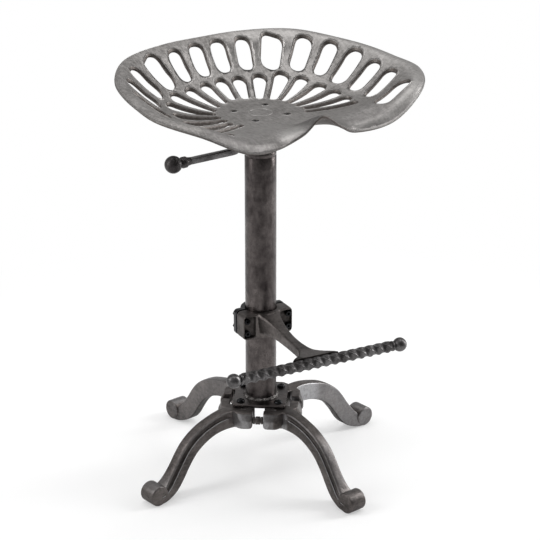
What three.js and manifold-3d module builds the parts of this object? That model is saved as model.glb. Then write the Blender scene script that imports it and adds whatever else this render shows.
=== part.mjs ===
// Height-adjustable stool: an openwork cast pan on a gas lift, a round column, a clamped footrest and four cast legs.
// Millimetres, +Z up, origin on the floor under the column axis, the sitter faces -Y.
import * as THREE from "three";
import { mergeVertices } from "three/addons/utils/BufferGeometryUtils.js";
import Module from "manifold-3d";

const wasm = await Module();
wasm.setup();

// Driving sizes.
const GAP = 0.3; // running and seating clearance between pieces
const BURIED = 1.5; // how far one part of a casting reaches into the next

// Seat pan: plan radius and edge height follow the angle from the back, the same on both sides.
const PAD_TOP = 614; // top of the flat middle, lift down
const PAN_HALF_WIDTH = 253;
const PAN_RISE = 80; // back edge above the pad
const PAN_WALL = 5;
const PAD_RADIUS = 60;
const PAN_LIP = 6; // how far the rolled side edge turns down
const PAN_CROWN_HEIGHT = 10; // swell of the thigh lobes before they turn down
const PAD_RING_RADIUS = 18; // raised witness ring in the middle
const PAD_RING_WIDTH = 1.2;
const PAD_RING_HEIGHT = 0.5;
const RIM_ANGLES = [0, 25, 50, 70, 85, 97, 110, 125, 140, 155, 168, 180];
const rimRadiusShare = share([0.684, 0.724, 0.848, 0.912, 0.944, 0.978, 1.037, 1.003, 0.851, 0.68, 0.666, 0.645]);
const rimHeightShare = share([1.041, 1.048, 0.99, 0.851, 0.787, 0.729, 0.665, 0.485, 0.059, -0.034, 0.195, 0.459]);
const wallStepShare = share([0, 0.1, 0.3, 0.47, 0.55, 0.62, 0.72, 0.82, 0.9, 1]);
const backRiseShare = share([0, 0.02, 0.14, 0.274, 0.364, 0.461, 0.638, 0.85, 0.939, 1]);
const sideRiseShare = share([0, 0.005, 0.068, 0.186, 0.27, 0.383, 0.566, 0.777, 0.929, 1]);
// Angles from the back between which one form gives way to the next.
const BACK_TO_SIDE_ANGLES = [35, 80];
const SIDE_TO_FRONT_ANGLES = [120, 165];
const LIP_START_ANGLES = [40, 75];
const LIP_END_ANGLES = [140, 172];
const LOBE_START_ANGLES = [112, 140];
const LOBE_END_ANGLES = [158, 178];
// Openings of the pan, from the back round to each side: [angle, angle at the outer end] and radii as shares of the half width.
const OUTER_ANGLES = [[9, 7.4], [25.4, 24], [40.7, 41], [56.4, 56.6], [70.4, 69.2], [84.6, 82.4], [99.2, 95.1], [113.3, 105.6], [132.5, 118.5]];
const outerInnerEndShare = share([0.5, 0.519, 0.558, 0.608, 0.635, 0.628, 0.646, 0.69, 0.736]);
const outerOuterEndShare = share([0.639, 0.661, 0.737, 0.799, 0.831, 0.851, 0.857, 0.889, 0.91]);
const outerWidthShare = share([0.112, 0.106, 0.137, 0.113, 0.103, 0.121, 0.108, 0.102, 0.118]);
const INNER_ANGLES = [[0, 0], [16.2, 16.7], [33.6, 34.2], [50.2, 49.7], [64, 63.5], [77.5, 78.7], [92.5, 93.7], [107.2, 107], [121.7, 116.5]];
const innerInnerEndShare = share([0.295, 0.286, 0.283, 0.283, 0.286, 0.27, 0.265, 0.285, 0.28]);
const innerOuterEndShare = share([0.464, 0.466, 0.496, 0.558, 0.58, 0.575, 0.578, 0.594, 0.61]);
const innerWidthShare = share([0.1, 0.098, 0.095, 0.1, 0.087, 0.097, 0.1, 0.087, 0.07]);
const INNER_TAPER_SHARE = 0.42; // width of an inner opening at the pad over its width outside

// Screws that hold the pan, at the corners of a square.
const SEAT_SCREW_OFFSET = 30.4;
const SEAT_SCREW_RADIUS = 3;
const SEAT_SCREW_HEAD_RADIUS = 6;
const SEAT_SCREW_LENGTH = 20;
const SEAT_SCREW_HEAD_DEPTH = 3.2;
const SEAT_KEY_WIDTH = 4; // hex key across flats
const SEAT_NUT_WIDTH = 10;
const SEAT_NUT_HEIGHT = 5;

// Mount under the pan and the gas lift below it.
const MOUNT_SIDE = 104;
const MOUNT_PLATE = 3.5;
const MOUNT_CORNER = 12;
const MOUNT_SOCKET_RADIUS = 19;
const MOUNT_DEPTH = 49; // pad to the lowest face of the socket
const MOUNT_CHEEK_THICK = 4;
const MOUNT_CHEEK_LENGTH = 20;
const MOUNT_CHEEK_DROP = 28;
const LIFT_RADIUS = 14;
const LIFT_WALL = 2.5;
const LIFT_TOP_DROP = 30; // top of the cylinder below the pad
const LIFT_FOOT = 232;
const LIFT_TAPER = 1.2; // how much the top of the cylinder narrows
const LIFT_TAPER_LENGTH = 40;
const LIFT_END_WALL = 8;
const BUTTON_RADIUS = 4;
const BUTTON_STAND = 6; // valve button above the cylinder
const BUTTON_LENGTH = 16;
const ROD_RADIUS = 5;
const ROD_TOP = 420;
const PISTON_HEIGHT = 12;
const ROD_COLLAR_RADIUS = 9;
const ROD_COLLAR_HEIGHT = 4;
const CLIP_RADIUS = 8;
const CLIP_THICK = 1.6;

// Release lever: a bar to the sitter's right with a ball on its end.
const LEVER_BAR = 10;
const LEVER_DROP = 33.6; // bar and ball below the pivot
const LEVER_REACH = 163.3; // ball centre from the column axis
const LEVER_KNEE_REACH = 44; // where the bar starts to turn up
const LEVER_ROOT = 30;
const LEVER_PIVOT = 24;
const LEVER_PIN_RADIUS = 2.5;
const LEVER_BALL_RADIUS = 13.9;
const LEVER_COLLAR_RADIUS = 9;
const LEVER_COLLAR_WIDTH = 6;
const LEVER_NECK_RADIUS = 5.6;
const LEVER_NECK_WIDTH = 3.5;
const LEVER_TENON_RADIUS = 3;
const LEVER_TENON_LENGTH = 8;
const LEVER_TIP_THICK = 5;

// Column.
const TUBE_RADIUS = 25.4;
const TUBE_WALL = 2.6;
const TUBE_TOP_DROP = 62; // top of the column below the pad, lift down
const TUBE_GROOVE_DROP = 6;
const TUBE_GROOVE_WIDTH = 1.8;
const TUBE_GROOVE_DEPTH = 0.8;
const RING_RADIUS = 27;
const RING_HEIGHT = 9;
const RING_EDGE = 1.5;
const BUSH_LENGTH = 240;
const PLATE_SIDE = 87.5;
const PLATE_THICK = 6;
const PLATE_TOP = 125;
const PLATE_CORNER = 5;
const WELD_LEG = 5;
const PLATE_BOLT_RADIUS_OUT = 44; // bolt circle, one on each corner diagonal
const PLATE_BOLT_RADIUS = 4;
const PLATE_BOLT_HEAD_RADIUS = 7;
const PLATE_BOLT_HEAD_HEIGHT = 4.4;
const PLATE_BOLT_LENGTH = 22;
const PLATE_BOLT_KEY = 5;

// Legs: outer and inner outline of one leg, outward and upward, with the half width at each station.
const LEG_COUNT = 4;
const LEG_TURN = 5.4; // degrees from +X to the first leg
const FOOT_REACH = 225.6; // centre of the scroll foot
const HUB_HEIGHT = 122.5;
const LEG_HALF_WIDTH = 9;
const SCROLL_RADIUS = 17;
const SCROLL_HALF_WIDTH = 16;
const SCROLL_EDGE = 2;
const FOOT_FLAT = 0.6; // how deep the contact flat cuts into the scroll
const outerReachShare = share([0.279, 0.36, 0.437, 0.514, 0.586, 0.662, 0.73, 0.784, 0.829, 0.865, 0.896, 0.923, 0.95, 0.977, 1]);
const outerRiseShare = share([0.965, 0.975, 0.958, 0.922, 0.876, 0.8, 0.7, 0.58, 0.457, 0.367, 0.294, 0.237, 0.196, 0.18, 0.163]);
const innerReachShare = share([0.27, 0.351, 0.414, 0.468, 0.523, 0.577, 0.631, 0.676, 0.716, 0.748, 0.784, 0.829, 0.883, 0.937, 1]);
const innerRiseShare = share([0.718, 0.722, 0.714, 0.694, 0.657, 0.604, 0.531, 0.437, 0.335, 0.245, 0.163, 0.09, 0.041, 0.013, 0.004]);
const legWidthShare = share([1.3, 1.12, 1.03, 1, 1, 1, 1, 1, 1, 1.03, 1.12, 1.3, 1.5, 1.68, 1.74]);
const PANEL_DEPTH = 2.2; // groove along each side of the leg
const HUB_INNER = 23;
const HUB_HALF_WIDTH = 13;
const LUG_RADIUS = 60; // tie bolt from the column axis
const LUG_INNER = 50; // the tongue of the lug hangs outside the edge of the base plate
const LUG_SHOULDER = 63;
const LUG_OUTER = 70;
const LUG_NEAR = 8.3; // face of the lug from the mid plane between two legs
const LUG_WIDTH = 23;
const LUG_ROOT_REACH = 56;
const LUG_ROOT_WIDTH = 34;
const LUG_FOOT = 91;
const LUG_ROUND = 7;
const TIE_HEIGHT = 105;
const TIE_RADIUS = 4;
const TIE_REACH = 15; // how far each end goes into its lug
const TIE_NUT_WIDTH = 13;
const TIE_NUT_LENGTH = 8;

// Footrest: split clamp, arm and twisted bar, turned a little from the seat.
const REST_TURN = -7.4; // degrees
const CLAMP_MIDDLE = 261.5;
const CLAMP_HEIGHT = 43;
const CLAMP_HALF_WIDTH = 44.5;
const CLAMP_FRONT_DEPTH = 26.5;
const CLAMP_BACK_DEPTH = 12;
const CLAMP_SPLIT = 1; // half the slot between the halves
const CLAMP_BOSS_RADIUS = 33;
const CLAMP_BACK_RADIUS = 33.5;
const CLAMP_EDGE = 6;
const CLAMP_POCKET = 6; // depth of the pocket beside the boss
const CLAMP_POCKET_EDGE = 4; // metal left above and below the pocket
const CLAMP_BOLT_X = 37.5;
const CLAMP_BOLT_SPACING = 21.6;
const CLAMP_BOLT_RADIUS = 3;
const CLAMP_HEAD_RADIUS = 5;
const CLAMP_HEAD_HEIGHT = 6;
const CLAMP_KEY = 4;
const CLAMP_NUT_WIDTH = 10;
const CLAMP_NUT_HEIGHT = 5;
const CLAMP_TAIL = 2;
const BAR_FORWARD = 194.6;
const BAR_DROP = 0.4; // bar below the middle of the clamp
const BAR_HALF_FLAT = 7.2;
const BAR_ROUND = 2;
const BAR_TWIST_LENGTH = 63; // length of one full turn
const BAR_HALF_LENGTH = 131.4;
const BALL_RADIUS = 11.4;
const BALL_COLLAR_RADIUS = 8.2;
const BALL_COLLAR_WIDTH = 4;
const BALL_NECK_RADIUS = 5.5;
const BALL_NECK_WIDTH = 0.8;
const BAR_TENON_RADIUS = 3.5;
const BAR_TENON_LENGTH = 12;
const armReachShare = share([0.14, 0.26, 0.4, 0.55, 0.7, 0.82, 0.9, 0.955, 1.0]);
const armLevelShare = share([0.1, 0.06, -0.03, -0.1, -0.12, -0.1, -0.05, -0.02, 0.0]);
const armDepthShare = share([0.42, 0.28, 0.18, 0.14, 0.13, 0.13, 0.15, 0.18, 0.2]);
const armWidthShare = share([0.45, 0.36, 0.3, 0.27, 0.28, 0.36, 0.55, 0.8, 0.95]);

function share(list) {
  return list;
}
const socketFoot = PAD_TOP - MOUNT_DEPTH;
const liftTop = PAD_TOP - LIFT_TOP_DROP;
const tubeTop = PAD_TOP - TUBE_TOP_DROP;

// Value at x of a smooth curve through the knots, flat at both ends.
function along(knots, values, x) {
  const last = knots.length - 1;
  if (x <= knots[0]) return values[0];
  if (x >= knots[last]) return values[last];
  let i = 0;
  while (x > knots[i + 1]) i++;
  const slope = (k) => (k === 0 || k === last ? 0 : (values[k + 1] - values[k - 1]) / (knots[k + 1] - knots[k - 1]));
  const h = knots[i + 1] - knots[i];
  const t = (x - knots[i]) / h;
  return (
    values[i] * (1 + 2 * t) * (1 - t) ** 2 +
    values[i + 1] * t * t * (3 - 2 * t) +
    h * slope(i) * t * (1 - t) ** 2 -
    h * slope(i + 1) * t * t * (1 - t)
  );
}
const rad = THREE.MathUtils.degToRad;
const smooth = (a, b, x) => THREE.MathUtils.smoothstep(x, Math.min(a, b), Math.max(a, b));

// Closed geometry to a solid facing outwards.
function solid(geometry) {
  const flat = geometry.index ? geometry.toNonIndexed() : geometry;
  const bare = new THREE.BufferGeometry().setAttribute("position", flat.getAttribute("position"));
  const merged = mergeVertices(bare, 1e-3);
  const tris = [];
  for (let i = 0; i < merged.index.count; i += 3) {
    const [a, b, c] = [merged.index.getX(i), merged.index.getX(i + 1), merged.index.getX(i + 2)];
    if (a !== b && b !== c && c !== a) tris.push(a, b, c);
  }
  const make = (list) =>
    new wasm.Manifold(
      new wasm.Mesh({
        numProp: 3,
        vertProperties: new Float32Array(merged.attributes.position.array),
        triVerts: new Uint32Array(list),
      }),
    );
  const made = make(tris);
  if (made.volume() >= 0) return made;
  for (let i = 0; i < tris.length; i += 3) [tris[i + 1], tris[i + 2]] = [tris[i + 2], tris[i + 1]];
  return make(tris);
}
// Turned piece from [radius, height] points, bottom first, up the outside; a bore closes the profile down the inside.
function turned(points, segments = 18) {
  const loop = points.map(([r, z]) => new THREE.Vector2(r, z));
  if (points[0][0] > 0 || points[points.length - 1][0] > 0) loop.push(loop[0].clone());
  return solid(new THREE.LatheGeometry(loop, segments).rotateX(Math.PI / 2));
}
function block(x0, x1, y0, y1, z0, z1) {
  const g = new THREE.BoxGeometry(x1 - x0, y1 - y0, z1 - z0);
  return solid(g.translate((x0 + x1) / 2, (y0 + y1) / 2, (z0 + z1) / 2));
}
function prism(points, z0, z1) {
  const shape = new THREE.Shape(points.map(([x, y]) => new THREE.Vector2(x, y)));
  return solid(new THREE.ExtrudeGeometry(shape, { depth: z1 - z0, bevelEnabled: false, steps: 1 }).translate(0, 0, z0));
}
function rod(radius, z0, z1, segments = 12) {
  return turned([[0, z0], [radius, z0], [radius, z1], [0, z1]], segments);
}
function hexagon(width, z0, z1) {
  return turned([[0, z0], [width / Math.sqrt(3), z0], [width / Math.sqrt(3), z1], [0, z1]], 6);
}
// Polygon with its corners rounded; each corner is [x, y, radius].
function rounded(corners, steps = 3) {
  const out = [];
  corners.forEach(([x, y, r], i) => {
    const [px, py] = corners[(i + corners.length - 1) % corners.length];
    const [nx, ny] = corners[(i + 1) % corners.length];
    const a = new THREE.Vector2(px - x, py - y).normalize();
    const b = new THREE.Vector2(nx - x, ny - y).normalize();
    const half = Math.acos(THREE.MathUtils.clamp(a.dot(b), -1, 1)) / 2;
    const cut = r / Math.tan(half);
    if (r <= 0) return out.push([x, y]);
    const c = a.clone().add(b).normalize().multiplyScalar(r / Math.sin(half)).add(new THREE.Vector2(x, y));
    const s = new THREE.Vector2(x, y).addScaledVector(a, cut).sub(c);
    const e = new THREE.Vector2(x, y).addScaledVector(b, cut).sub(c);
    let sweep = e.angle() - s.angle();
    if (sweep > Math.PI) sweep -= 2 * Math.PI;
    if (sweep < -Math.PI) sweep += 2 * Math.PI;
    for (let k = 0; k <= steps; k++) {
      const t = s.angle() + (sweep * k) / steps;
      out.push([c.x + r * Math.cos(t), c.y + r * Math.sin(t)]);
    }
  });
  return out;
}
// Solid skinned over rings of points, each ring with the same number of [x, y, z] points.
function skinned(rings) {
  const pos = [];
  const n = rings[0].length;
  const tri = (a, b, c) => pos.push(...a, ...b, ...c);
  for (let i = 0; i + 1 < rings.length; i++)
    for (let j = 0; j < n; j++) {
      const [a, b, c, d] = [rings[i][j], rings[i][(j + 1) % n], rings[i + 1][(j + 1) % n], rings[i + 1][j]];
      tri(a, b, c);
      tri(a, c, d);
    }
  for (const [ring, turn] of [[rings[0], 1], [rings[rings.length - 1], 0]]) {
    const faces = THREE.ShapeUtils.triangulateShape(flatten(ring), []);
    const way = THREE.ShapeUtils.isClockWise(flatten(ring)) ? 1 - turn : turn;
    for (const [a, b, c] of faces) way ? tri(ring[a], ring[c], ring[b]) : tri(ring[a], ring[b], ring[c]);
  }
  return solid(new THREE.BufferGeometry().setAttribute("position", new THREE.Float32BufferAttribute(pos, 3)));
}
// A ring's points in its own plane.
function flatten(ring) {
  const v = ring.map((p) => new THREE.Vector3(...p));
  const normal = new THREE.Vector3();
  v.forEach((p, i) => normal.add(new THREE.Vector3().crossVectors(p, v[(i + 1) % v.length])));
  normal.normalize();
  const u = v[1].clone().sub(v[0]).normalize();
  const w = new THREE.Vector3().crossVectors(normal, u);
  return v.map((p) => new THREE.Vector2(p.dot(u), p.dot(w)));
}

const stool = new THREE.Group();
const FINISH = {
  pan: [0x8c8681, 0.42],
  iron: [0x4a4644, 0.5],
  column: [0x4d4543, 0.42],
  black: [0x17181a, 0.35],
  bright: [0xb9bcc0, 0.25],
  plastic: [0x1a1a1b, 0.6],
};
function place(name, made, finish, turn = 0) {
  const part = turn ? made.rotate([0, 0, turn]) : made;
  const m = part.getMesh();
  const g = new THREE.BufferGeometry()
    .setAttribute("position", new THREE.BufferAttribute(new Float32Array(m.vertProperties), 3))
    .setIndex(new THREE.BufferAttribute(new Uint32Array(m.triVerts), 1));
  const flat = g.toNonIndexed();
  flat.computeVertexNormals();
  const [color, roughness] = FINISH[finish];
  const mesh = new THREE.Mesh(
    flat,
    new THREE.MeshStandardMaterial({ color, roughness, metalness: finish === "plastic" ? 0 : 0.85 }),
  );
  mesh.name = name;
  stool.add(mesh);
}

// Seat pan: one casting, a dished wall with two rows of openings, thigh lobes and a raised middle at the front.
function panHeight(angle, t) {
  const edge = PAN_RISE * along(RIM_ANGLES, rimHeightShare, angle);
  const front = smooth(...SIDE_TO_FRONT_ANGLES, angle);
  const side = smooth(...BACK_TO_SIDE_ANGLES, angle);
  const wall = along(wallStepShare, backRiseShare, t) * (1 - side) + along(wallStepShare, sideRiseShare, t) * side;
  const turnedDown = smooth(...LIP_START_ANGLES, angle) * (1 - smooth(...LIP_END_ANGLES, angle));
  const roll = Math.max(0, (t - 0.9) / 0.1);
  const lip = PAN_LIP * turnedDown * (Math.min(1, t / 0.9) ** 4 - roll ** 2);
  const lobe = smooth(...LOBE_START_ANGLES, angle) * (1 - smooth(...LOBE_END_ANGLES, angle));
  return edge * (wall * (1 - front) + t ** 1.7 * front) + lip + PAN_CROWN_HEIGHT * lobe * 6.75 * t * t * (1 - t);
}
function panPoint(angle, t, drop) {
  const radius = PAD_RADIUS + (PAN_HALF_WIDTH * along(RIM_ANGLES, rimRadiusShare, angle) - PAD_RADIUS) * t;
  return [radius, panHeight(angle, t) - drop];
}
const stationShare = share([0, 0.22, 0.4, 0.52, 0.62, 0.72, 0.82, 0.91, 1]);
const PAN_SECTIONS = 52;
const panRings = [];
for (let k = 0; k < PAN_SECTIONS; k++) {
  const turn = (k * 360) / PAN_SECTIONS;
  const angle = turn > 180 ? 360 - turn : turn;
  const top = stationShare.map((t) => panPoint(angle, t, 0));
  const under = stationShare.map((t, i) => {
    const [a, b] = [top[Math.max(0, i - 1)], top[Math.min(top.length - 1, i + 1)]];
    const run = b[0] - a[0];
    const climb = b[1] - a[1];
    const long = Math.hypot(run, climb);
    const lean = i === 0 ? 0 : climb / long;
    return [top[i][0] + PAN_WALL * lean, top[i][1] - PAN_WALL * (i === 0 ? 1 : run / long)];
  });
  const edge = top[top.length - 1];
  const lastUnder = under[under.length - 1];
  const nose = [Math.max(edge[0], lastUnder[0]) + PAN_WALL * 0.25, (edge[1] + lastUnder[1]) / 2];
  const path = [[0, 0], ...top, nose, ...under.reverse(), [0, -PAN_WALL]];
  const out = rad(90 + turn);
  panRings.push(path.map(([r, z]) => [r * Math.cos(out), r * Math.sin(out), PAD_TOP + z]));
}
const panFaces = [];
for (let k = 0; k < PAN_SECTIONS; k++) {
  const [a, b] = [panRings[k], panRings[(k + 1) % PAN_SECTIONS]];
  for (let i = 0; i + 1 < a.length; i++) panFaces.push(...a[i], ...a[i + 1], ...b[i + 1], ...a[i], ...b[i + 1], ...b[i]);
}
let pan = solid(new THREE.BufferGeometry().setAttribute("position", new THREE.Float32BufferAttribute(panFaces, 3)));
// One opening: a rounded slot from its inner to its outer end, cut straight down as the casting draws.
function opening([innerAngle, outerAngle], r0, r1, w0, w1, corner, side) {
  const at = (a, r) => new THREE.Vector2(r * Math.cos(rad(90 + a * side)), r * Math.sin(rad(90 + a * side)));
  const p0 = at(innerAngle, r0);
  const p1 = at(outerAngle, r1);
  const d = p1.clone().sub(p0).normalize();
  const n = new THREE.Vector2(-d.y, d.x);
  const put = (p, w, s, round) => [p.x + (n.x * w * s) / 2, p.y + (n.y * w * s) / 2, (w / 2) * round];
  const outline = rounded([put(p0, w0, 1, 0.9), put(p0, w0, -1, 0.9), put(p1, w1, -1, corner), put(p1, w1, 1, corner)], 2);
  return prism(outline, PAD_TOP - PAN_RISE, PAD_TOP + 2 * PAN_RISE);
}
const openings = [];
for (const side of [1, -1]) {
  OUTER_ANGLES.forEach((angles, i) => {
    const w = PAN_HALF_WIDTH * outerWidthShare[i];
    const inner = i > 4 ? w * 0.92 : w * 0.86;
    openings.push(
      opening(angles, PAN_HALF_WIDTH * outerInnerEndShare[i], PAN_HALF_WIDTH * outerOuterEndShare[i], inner, w, i === 2 ? 0.55 : 0.85, side),
    );
  });
  INNER_ANGLES.forEach((angles, i) => {
    if (i === 0 && side < 0) return;
    const w = PAN_HALF_WIDTH * innerWidthShare[i];
    openings.push(
      opening(angles, PAN_HALF_WIDTH * innerInnerEndShare[i], PAN_HALF_WIDTH * innerOuterEndShare[i], w * INNER_TAPER_SHARE, w, 0.8, side),
    );
  });
}
const ring = turned([
  [PAD_RING_RADIUS, PAD_TOP - BURIED],
  [PAD_RING_RADIUS + PAD_RING_WIDTH, PAD_TOP - BURIED],
  [PAD_RING_RADIUS + PAD_RING_WIDTH, PAD_TOP + PAD_RING_HEIGHT],
  [PAD_RING_RADIUS, PAD_TOP + PAD_RING_HEIGHT],
]);
pan = openings.reduce((made, cut) => made.subtract(cut), pan.add(ring));
const corners = [[1, 1], [-1, 1], [-1, -1], [1, -1]];
const screwAt = corners.map(([x, y]) => [x * SEAT_SCREW_OFFSET, y * SEAT_SCREW_OFFSET]);
const sink = turned([
  [0, PAD_TOP - PAN_WALL - BURIED],
  [SEAT_SCREW_RADIUS + GAP, PAD_TOP - PAN_WALL - BURIED],
  [SEAT_SCREW_RADIUS + GAP, PAD_TOP - SEAT_SCREW_HEAD_DEPTH - GAP],
  [SEAT_SCREW_HEAD_RADIUS + GAP, PAD_TOP - GAP],
  [SEAT_SCREW_HEAD_RADIUS + GAP, PAD_TOP + BURIED],
  [0, PAD_TOP + BURIED],
]);
for (const [x, y] of screwAt) pan = pan.subtract(sink.translate([x, y, 0]));
place("seat_pan", pan, "pan");

// Countersunk screws and the nuts under the mount plate.
const mountTop = PAD_TOP - PAN_WALL - GAP;
const screwTop = PAD_TOP - 2 * GAP;
const screw = turned([
  [0, PAD_TOP - SEAT_SCREW_LENGTH],
  [SEAT_SCREW_RADIUS, PAD_TOP - SEAT_SCREW_LENGTH],
  [SEAT_SCREW_RADIUS, PAD_TOP - SEAT_SCREW_HEAD_DEPTH],
  [SEAT_SCREW_HEAD_RADIUS - GAP, screwTop],
  [0, screwTop],
], 16).subtract(hexagon(SEAT_KEY_WIDTH, PAD_TOP - SEAT_SCREW_HEAD_DEPTH, PAD_TOP));
const nutTop = mountTop - MOUNT_PLATE - GAP;
const seatNut = hexagon(SEAT_NUT_WIDTH, nutTop - SEAT_NUT_HEIGHT, nutTop).subtract(
  rod(SEAT_SCREW_RADIUS + GAP, nutTop - 2 * SEAT_NUT_HEIGHT, nutTop + BURIED),
);
screwAt.forEach(([x, y], i) => {
  place("seat_screw_" + (i + 1), screw.translate([x, y, 0]), "black");
  place("seat_nut_" + (i + 1), seatNut.translate([x, y, 0]), "black");
});

// Mount: a plate with a socket for the lift and two cheeks that carry the lever pin.
const half = MOUNT_SIDE / 2;
const pivotHeight = liftTop + BUTTON_STAND + GAP + LEVER_TIP_THICK / 2;
let mount = prism(
  rounded(corners.map(([x, y]) => [x * half, y * half, MOUNT_CORNER])),
  mountTop - MOUNT_PLATE,
  mountTop,
);
mount = mount.add(rod(MOUNT_SOCKET_RADIUS, socketFoot, mountTop - MOUNT_PLATE + BURIED / 2, 24));
const cheekIn = LEVER_BAR / 2 + GAP * 2;
for (const s of [1, -1]) {
  const [y0, y1] = s > 0 ? [cheekIn, cheekIn + MOUNT_CHEEK_THICK] : [-cheekIn - MOUNT_CHEEK_THICK, -cheekIn];
  mount = mount.add(
    block(-LEVER_PIVOT - MOUNT_CHEEK_LENGTH / 2, -LEVER_BAR, y0, y1, mountTop - MOUNT_CHEEK_DROP, mountTop - MOUNT_PLATE / 2),
  );
}
const leverSlotTop = mountTop - MOUNT_PLATE - GAP;
mount = mount
  .subtract(
    turned([
      [0, socketFoot - BURIED],
      [LIFT_RADIUS + GAP, socketFoot - BURIED],
      [LIFT_RADIUS - LIFT_TAPER + GAP, liftTop],
      [LIFT_RADIUS - LIFT_TAPER + GAP, leverSlotTop],
      [0, leverSlotTop],
    ]),
  )
  .subtract(block(-MOUNT_SIDE, 0, -cheekIn, cheekIn, pivotHeight - LEVER_BAR * 1.6, leverSlotTop))
  .subtract(
    rod(LEVER_PIN_RADIUS + GAP, -MOUNT_SIDE, MOUNT_SIDE, 12).rotate([90, 0, 0]).translate([-LEVER_PIVOT, 0, pivotHeight]),
  );
for (const [x, y] of screwAt)
  mount = mount.subtract(rod(SEAT_SCREW_RADIUS + GAP, mountTop - 2 * MOUNT_PLATE, mountTop + BURIED).translate([x, y, 0]));
place("mount_plate", mount, "black");

// Release lever, its pin and its ball.
function barRing(x, z, lean, h, w) {
  const c = Math.cos(lean);
  const s = Math.sin(lean);
  return [[1, 0.45], [0.45, 1], [-0.45, 1], [-1, 0.45], [-1, -0.45], [-0.45, -1], [0.45, -1], [1, -0.45]].map(([u, v]) => [
    x - (s * u * h) / 2,
    (v * w) / 2,
    z + (c * u * h) / 2,
  ]);
}
const leverEnd = -LEVER_REACH + LEVER_BALL_RADIUS + LEVER_NECK_WIDTH + LEVER_COLLAR_WIDTH;
const leverHeight = pivotHeight - LEVER_DROP;
const slope = Math.atan2(LEVER_DROP, LEVER_KNEE_REACH - LEVER_ROOT);
const bar = skinned([
  barRing(leverEnd, leverHeight, 0, LEVER_BAR, LEVER_BAR),
  barRing(-LEVER_KNEE_REACH - LEVER_BAR, leverHeight, 0, LEVER_BAR, LEVER_BAR),
  barRing(-LEVER_KNEE_REACH, leverHeight + LEVER_DROP * 0.06, slope * 0.4, LEVER_BAR, LEVER_BAR),
  barRing(-LEVER_KNEE_REACH * 0.75 - LEVER_ROOT * 0.25, leverHeight + LEVER_DROP * 0.24, slope * 0.8, LEVER_BAR, LEVER_BAR),
  barRing(-LEVER_KNEE_REACH * 0.3 - LEVER_ROOT * 0.7, leverHeight + LEVER_DROP * 0.76, slope * 0.8, LEVER_BAR, LEVER_BAR),
  barRing(-LEVER_ROOT, pivotHeight - LEVER_DROP * 0.04, slope * 0.3, LEVER_BAR, LEVER_BAR),
  barRing(-LEVER_PIVOT, pivotHeight, 0, LEVER_BAR, LEVER_BAR),
  barRing(-LEVER_PIVOT + LEVER_BAR, pivotHeight, 0, LEVER_TIP_THICK, LEVER_BAR),
  barRing(BUTTON_RADIUS, pivotHeight, 0, LEVER_TIP_THICK, LEVER_BAR),
]);
const tenon = rod(LEVER_TENON_RADIUS, -LEVER_TENON_LENGTH, BURIED, 12).rotate([0, 90, 0]).translate([leverEnd, 0, leverHeight]);
place(
  "lever_rod",
  bar
    .add(tenon)
    .subtract(rod(LEVER_PIN_RADIUS + GAP, -LEVER_BAR, LEVER_BAR, 12).rotate([90, 0, 0]).translate([-LEVER_PIVOT, 0, pivotHeight])),
  "iron",
);
place(
  "lever_pin",
  rod(LEVER_PIN_RADIUS, -cheekIn - MOUNT_CHEEK_THICK, cheekIn + MOUNT_CHEEK_THICK, 12)
    .rotate([90, 0, 0])
    .translate([-LEVER_PIVOT, 0, pivotHeight]),
  "bright",
);
// Ball end with a neck and a collar towards the bar, bored for the tenon.
function ballEnd(radius, neck, neckWidth, collar, collarWidth, boreRadius, boreDepth) {
  const start = Math.asin(neck / radius);
  const profile = [[0, -radius]];
  for (let i = 1; i <= 7; i++) {
    const t = -Math.PI / 2 + ((Math.PI - start) * i) / 7;
    profile.push([radius * Math.cos(t), radius * Math.sin(t)]);
  }
  const seat = radius * Math.cos(start);
  const face = radius + neckWidth + collarWidth;
  profile.push([neck, seat + neckWidth * 0.6], [collar, radius + neckWidth], [collar, face - GAP], [boreRadius + GAP, face - GAP]);
  profile.push([boreRadius + GAP, face - boreDepth - GAP], [0, face - boreDepth - GAP]);
  return turned(profile, 16);
}
place(
  "lever_ball",
  ballEnd(
    LEVER_BALL_RADIUS, LEVER_NECK_RADIUS, LEVER_NECK_WIDTH, LEVER_COLLAR_RADIUS, LEVER_COLLAR_WIDTH,
    LEVER_TENON_RADIUS, LEVER_TENON_LENGTH,
  )
    .rotate([0, 90, 0])
    .translate([-LEVER_REACH, 0, leverHeight]),
  "iron",
);

// Gas lift: cylinder, valve button, and the piston rod that stands on the base plate.
const bore = LIFT_RADIUS - LIFT_WALL;
place(
  "gas_cylinder",
  turned([
    [ROD_RADIUS + GAP, LIFT_FOOT],
    [LIFT_RADIUS, LIFT_FOOT],
    [LIFT_RADIUS, liftTop - LIFT_TAPER_LENGTH],
    [LIFT_RADIUS - LIFT_TAPER, liftTop],
    [BUTTON_RADIUS + GAP, liftTop],
    [BUTTON_RADIUS + GAP, liftTop - LIFT_END_WALL * 2],
    [bore, liftTop - LIFT_END_WALL * 2],
    [bore, LIFT_FOOT + LIFT_END_WALL],
    [ROD_RADIUS + GAP, LIFT_FOOT + LIFT_END_WALL],
  ]),
  "bright",
);
place("valve_button", rod(BUTTON_RADIUS, liftTop + BUTTON_STAND - BUTTON_LENGTH, liftTop + BUTTON_STAND), "plastic");
const rodFoot = PLATE_TOP - PLATE_THICK - CLIP_THICK * 3;
const plateBore = ROD_RADIUS + 2 * GAP;
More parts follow.
